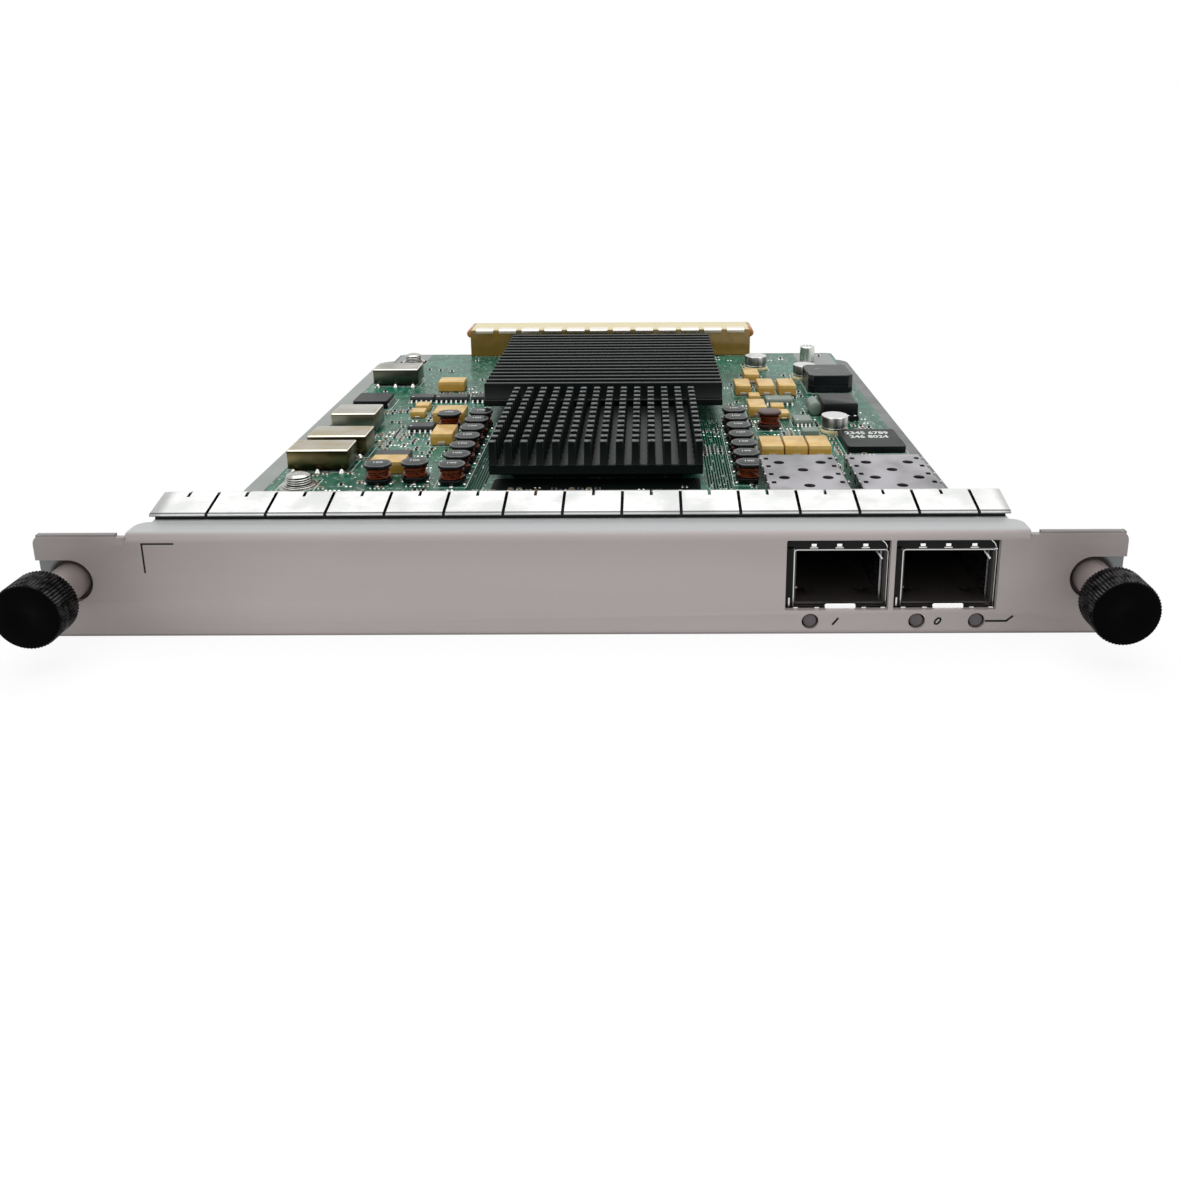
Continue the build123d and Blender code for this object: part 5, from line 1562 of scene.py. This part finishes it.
class CARD_OT_backplane(CardOperator, bpy.types.Operator):
    """Backplane connector: glossy housing with ivory top, rounded ends, plain socket, and shield tabs"""

    bl_idname = "card.backplane"
    bl_label = "Backplane connector"

    def execute(self, context):
        low, high, middle, _ = block_mm("backplane_housing")
        bump = 1.2
        body_half = (high[0] - low[0]) / 2 - bump
        depth = high[1] - low[1]
        tall = high[2] - BOARD
        shell = Shell()
        deep = depth - 6.0
        lower = tall - 0.2
        place = (middle[0], low[1], BOARD + lower / 2)
        stack(shell, place, (body_half, lower / 2), 0.4, [(0.0, -0.25), (0.12, -0.06), (0.3, 0), (deep, 0)],
              3, 0, axis="y")
        wall = [(deep - 0.01, 0), (depth - 0.2, 0), (depth, -0.2), (depth, -1.3), (depth - 0.2, -1.5),
                (deep - 0.01, -1.5)]
        stack(shell, place, (body_half, lower / 2), 1.6, wall, 3, 0, caps=(False, False), axis="y")
        stack(shell, (middle[0], low[1] + deep - 0.1, BOARD + tall / 2), (body_half - 3.0, 0.9), 0.2,
              [(0, 0), (5.6, 0), (5.8, -0.15)], 1, 0, axis="y")
        stack(shell, (middle[0], (low[1] + high[1]) / 2, BOARD + lower - 0.1),
              (body_half - 0.2, depth / 2 - 0.1), 0.3, [(0.0, 0), (0.20, 0), (0.26, -0.06)], 2, 1)
        for sign in (1, -1):
            x = middle[0] + sign * (body_half - 0.2)
            end = [(0, 0.9), (0.12, 1.15), (0.4, 1.3), (depth - 0.6, 1.3), (depth - 0.3, 1.1)]
            turned(shell, (x, low[1] + 0.1, BOARD + tall - 1.3), end, 24, 2, axis="y")
        ribs, _ = solids("backplane_shields")
        gaps = (ribs[1:, 0] + ribs[:-1, 0]) / 2
        for x in gaps:
            stack(shell, (x, (low[1] + high[1]) / 2, BOARD + lower), (0.35, depth / 2 - 0.3), 0.1,
                  [(0, 0), (0.15, 0.0), (0.2, -0.05)], 1, 1)
        piece("backplane_connector", shell, ["connector plastic", "ivory top", "end brown"],
              ["backplane_housing"])

        tabs, sizes = solids("backplane_shields")
        shell = Shell()
        starts = np.c_[tabs[:, 0], np.full(len(tabs), low[1] + 3.4), np.full(len(tabs), BOARD + tall)]
        path = [(0.0, -0.06), (3.1, -0.04), (3.4, -0.1), (3.56, -0.25), (3.58, -0.5), (3.56, -1.15)]
        strips(shell, starts, (0.0, -1.0), path, sizes[0][0], 0.18)
        piece("shield_tabs", shell, ["shield tab"], ["backplane_shields"], sharp=50.0)
        return {"FINISHED"}


class CARD_OT_fasteners(CardOperator, bpy.types.Operator):
    """Board screws with ringed shanks and round heads on flat washers, and the threaded corner post"""

    bl_idname = "card.fasteners"
    bl_label = "Board fasteners"

    def execute(self, context):
        middles, _ = solids("board_washers")
        places = on_board(middles)
        shell = Shell()
        turned(shell, places, [(0.0, 3.3), (0.08, 3.42), (0.30, 3.42), (0.38, 3.3), (0.38, 2.6),
                               (0.46, 2.6), (0.46, 2.95), (0.52, 3.05), (0.60, 3.0), (0.60, 1.3)], 48)
        piece("flat_washers", shell, ["nickel"], ["board_washers"])
        shell = Shell()
        sides = 48
        climb = np.linspace(0.62, 1.97, 31)
        bulge = 2.22 + 0.32 * np.abs(np.sin(math.pi * (climb - 0.62) / 0.45))
        dome = [(2.00, 2.30), (2.10, 2.42), (2.25, 2.40), (2.45, 2.15), (2.62, 1.70), (2.72, 1.25),
                (2.76, 0.80), (2.86, 0.74), (2.90, 0.55)]
        head = np.concatenate([np.c_[climb, bulge], dome])
        turned(shell, places, head, sides)
        turned(shell, places, [(-2.6, 1.2), (1.3, 1.25)], 16)
        # painted shade: dark discs in the grooves between the head's rings
        for up in (0.62, 1.07, 1.52, 1.97):
            turned(shell, places, [(up - 0.07, 1.6), (up - 0.07, 2.36), (up + 0.07, 2.36),
                                   (up + 0.07, 1.6)], sides, 1)
        piece("board_screw_heads", shell, ["nickel", "dark print"], ["board_screws"])
        low, high, middle, _ = block_mm("corner_post")
        shell = Shell()
        top = high[2] - BOARD
        wide = (high[0] - low[0]) / 2
        post = [(-2.6, 1.2), (0.0, 1.25), (0.0, wide - 0.1), (0.12, wide), (top - 0.3, wide),
                (top, wide - 0.3), (top, 1.2), (top - 0.8, 1.05), (top - 0.8, 0.3)]
        turned(shell, (middle[0], middle[1], BOARD), post, 40)
        piece("threaded_post", shell, ["tinned"], ["corner_post"])
        return {"FINISHED"}


NOT_ON_BOARD = ("front_panel", "emi", "thumbscrew", "captive", "retaining", "end_bracket", "carrier",
                "status", "host", "circuit")


def footprints():
    """Boxes (x, y, half x, half y) in mm of everything that stands on the board."""
    boxes = []
    for name in sorted(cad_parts):
        low, high = box_mm(name)
        if low[2] > BOARD - 3.0 and high[2] > BOARD + 0.5 and not name.startswith(NOT_ON_BOARD):
            middles, sizes = solids(name)
            boxes.append(np.c_[middles[:, :2], sizes[:, :2] / 2])
    cans = [(CRYSTAL[0], CRYSTAL[1] + 3.6, 1.9, 3.9), (*OSCILLATOR, 2.0, 1.7)]
    return np.concatenate([*boxes, np.array(cans)])


class CARD_OT_small_parts(CardOperator, bpy.types.Operator):
    """Smallest resistors and capacitors with solder at their ends, vias, printed lines and patches, and a
    painted shadow in front of the pin heat sink
    """

    bl_idname = "card.small_parts"
    bl_label = "Small parts and print"

    def execute(self, context):
        chance = np.random.default_rng(context.scene.card_settings.small_part_seed)
        taken = footprints()

        _, _, board_middle, board_half = block_mm("circuit_board")

        def free(points, half, gap):
            """Which points keep this gap from all that stands on the board, and clear of its edge."""
            away = np.abs(points[:, None] - taken[:, :2]) - taken[:, 2:] - np.asarray(half) - gap
            inside = np.abs(points - board_middle[:2]) < board_half[:2] - 1.6
            return (away.max(-1) > 0).all(1) & inside.all(1)

        step = np.array([1.75, 1.20])
        first = np.array([BOARD_LOW[0] + 2.5, FACE + 51.0])
        last = np.array([BOARD_HIGH[0] - 2.0, BOARD_HIGH[1] - 2.0])
        count = ((last - first) / step).astype(int)
        grid = np.stack(np.meshgrid(*map(np.arange, count), indexing="ij"), -1).reshape(-1, 2)
        points = first + grid * step
        zone = (grid // (5, 6)) @ (131, 17)
        density = chance.choice([0.0, 0.12, 0.40, 0.75], 4096, p=[0.30, 0.25, 0.25, 0.20])[zone % 4096]
        kind = chance.random(len(points))
        colour = chance.random(4096)[(zone * 7 + grid[:, 0]) % 4096]
        density = np.where(points[:, 1] > FACE + 138.0, density * 0.15, density)
        keep = (chance.random(len(points)) < density) & free(points, (0.70, 0.45), 0.12)
        points, kind, colour = points[keep], kind[keep], colour[keep]
        part = kind < 0.62
        shell = Shell()
        for index, choose in enumerate((part & (colour < 0.5), part & (colour >= 0.5))):
            places = on_board(points[choose])
            stack(shell, places, (0.32, 0.27), 0.0, [(0.03, 0), (0.36, 0)], 0, index)
            for sign in (1, -1):
                stack(shell, places + (sign * 0.45, 0, 0), (0.14, 0.29), 0.0,
                      [(0.0, 0.08), (0.12, 0.0), (0.40, -0.02)], 0, 2)
        pads = ~part & (kind < 0.82)
        places = on_board(points[pads])
        for sign in (1, -1):
            turned(shell, places + (sign * 0.45, 0, 0), [(0.0, 0.36), (0.05, 0.32), (0.14, 0.12)], 8, 2)
        piece("chip_parts", shell, ["chip part dark", "chip part tan", "tinned"], (),
              sharp=50.0)

        shell = Shell()
        tracks = points[kind > 0.90]
        half = np.c_[np.full(len(tracks), 0.6), chance.uniform(0.05, 0.08, len(tracks))]
        slab(shell, on_board(tracks), half, 0.0, 0.02, 0)
        boxes = taken[(taken[:, 2] < 9) & (taken[:, 3] < 9) & (taken[:, 1] > FACE + 55)]
        boxes = boxes[chance.random(len(boxes)) < 0.75]
        for sign in (1, -1):
            for swap in (False, True):
                side = boxes[:, 2:] + 0.38
                middle = boxes[:, :2] + (side * (0, sign) if swap else side * (sign, 0))
                thin = np.full(len(side), 0.075)
                half = np.c_[side[:, 0], thin] if swap else np.c_[thin, side[:, 1]]
                slab(shell, on_board(middle), half, 0.0, 0.022, 0)
        dots = first + chance.random((420, 2)) * (last - first)
        dots = dots[free(dots, (0.3, 0.3), 0.1) & (dots[:, 1] < FACE + 145.0)]
        turned(shell, on_board(dots), [(0.0, 0.26), (0.025, 0.22)], 8, 1)
        sink_low, sink_high = box_mm("heat_sink_front")
        beside = chance.random((2600, 3))
        left = sink_low[0] - 6.5 + beside[:, 0] * 11.0
        right = sink_high[0] + 1.0 + (beside[:, 0] - 0.5) * 18.0
        beside = np.c_[np.where(beside[:, 0] < 0.5, left, right), FACE + 58.0 + beside[:, 1] * 52.0,
                       beside[:, 2] * 2.2 + 0.5]
        beside[:, 0] = np.round(beside[:, 0] / 0.55) * 0.55
        beside = beside[free(beside[:, :2], (0.1, 1.0), 0.1)]
        slab(shell, on_board(beside), np.c_[np.full(len(beside), 0.13), beside[:, 2]], 0.0, 0.018, 0, 4)
        # painted shadow: a dark patch on the board in front of the pin heat sink
        slab(shell, ((sink_low[0] + sink_high[0]) / 2, sink_low[1] - 1.5, BOARD),
             ((sink_high[0] - sink_low[0]) / 2 - 0.5, 6.2), 0.8, 0.03, 3, 5)
        rear = BOARD_HIGH[1]
        left_patch = (BOARD_LOW[0] + 0.6, BOARD_LOW[0] + 10.0, FACE + 150.0, rear - 0.6)
        right_patch = (BOARD_HIGH[0] - 12.0, BOARD_HIGH[0] - 0.8, FACE + 168.0, rear - 0.6)
        for x_low, x_high, y_low, y_high in (left_patch, right_patch):
            slab(shell, ((x_low + x_high) / 2, (y_low + y_high) / 2, BOARD),
                 ((x_high - x_low) / 2, (y_high - y_low) / 2), 0.8, 0.02, 3, 3)
        screws, _ = solids("board_washers")
        turned(shell, on_board(screws), [(0.0, 4.1), (0.02, 4.05)], 48, 2)
        piece("board_print", shell, ["white print", "tinned", "dull tin", "grey patch", "pale track",
                                     "dark resist"], (), sharp=50.0)
        return {"FINISHED"}


OPERATORS = (
    CARD_OT_stage, CARD_OT_carrier, CARD_OT_panel, CARD_OT_finger_strip, CARD_OT_thumbscrews, CARD_OT_cages,
    CARD_OT_heat_sinks, CARD_OT_inductors, CARD_OT_capacitors, CARD_OT_chips, CARD_OT_power_modules,
    CARD_OT_wound_parts, CARD_OT_backplane, CARD_OT_fasteners, CARD_OT_small_parts,
)


class CARD_PT_build(bpy.types.Panel):
    """Sidebar panel that lists the settings and every step"""

    bl_label = "Interface Card"
    bl_space_type = "VIEW_3D"
    bl_region_type = "UI"
    bl_category = "Card"

    def draw(self, context):
        settings = context.scene.card_settings
        for name in CardSettings.__annotations__:
            self.layout.prop(settings, name)
        for operator in OPERATORS:
            self.layout.operator(operator.bl_idname)


CLASSES = (CardSettings, *OPERATORS, CARD_PT_build)


def register():
    for each in CLASSES:
        bpy.utils.register_class(each)
    bpy.types.Scene.card_settings = PointerProperty(type=CardSettings)


def unregister():
    del bpy.types.Scene.card_settings
    for each in reversed(CLASSES):
        bpy.utils.unregister_class(each)


def main():
    """Build everything in order."""
    register()
    for operator in OPERATORS:
        group, name = operator.bl_idname.split(".")
        if getattr(getattr(bpy.ops, group), name)() != {"FINISHED"}:
            raise RuntimeError(f"{operator.bl_label} did not finish")


if __name__ == "__main__":
    main()
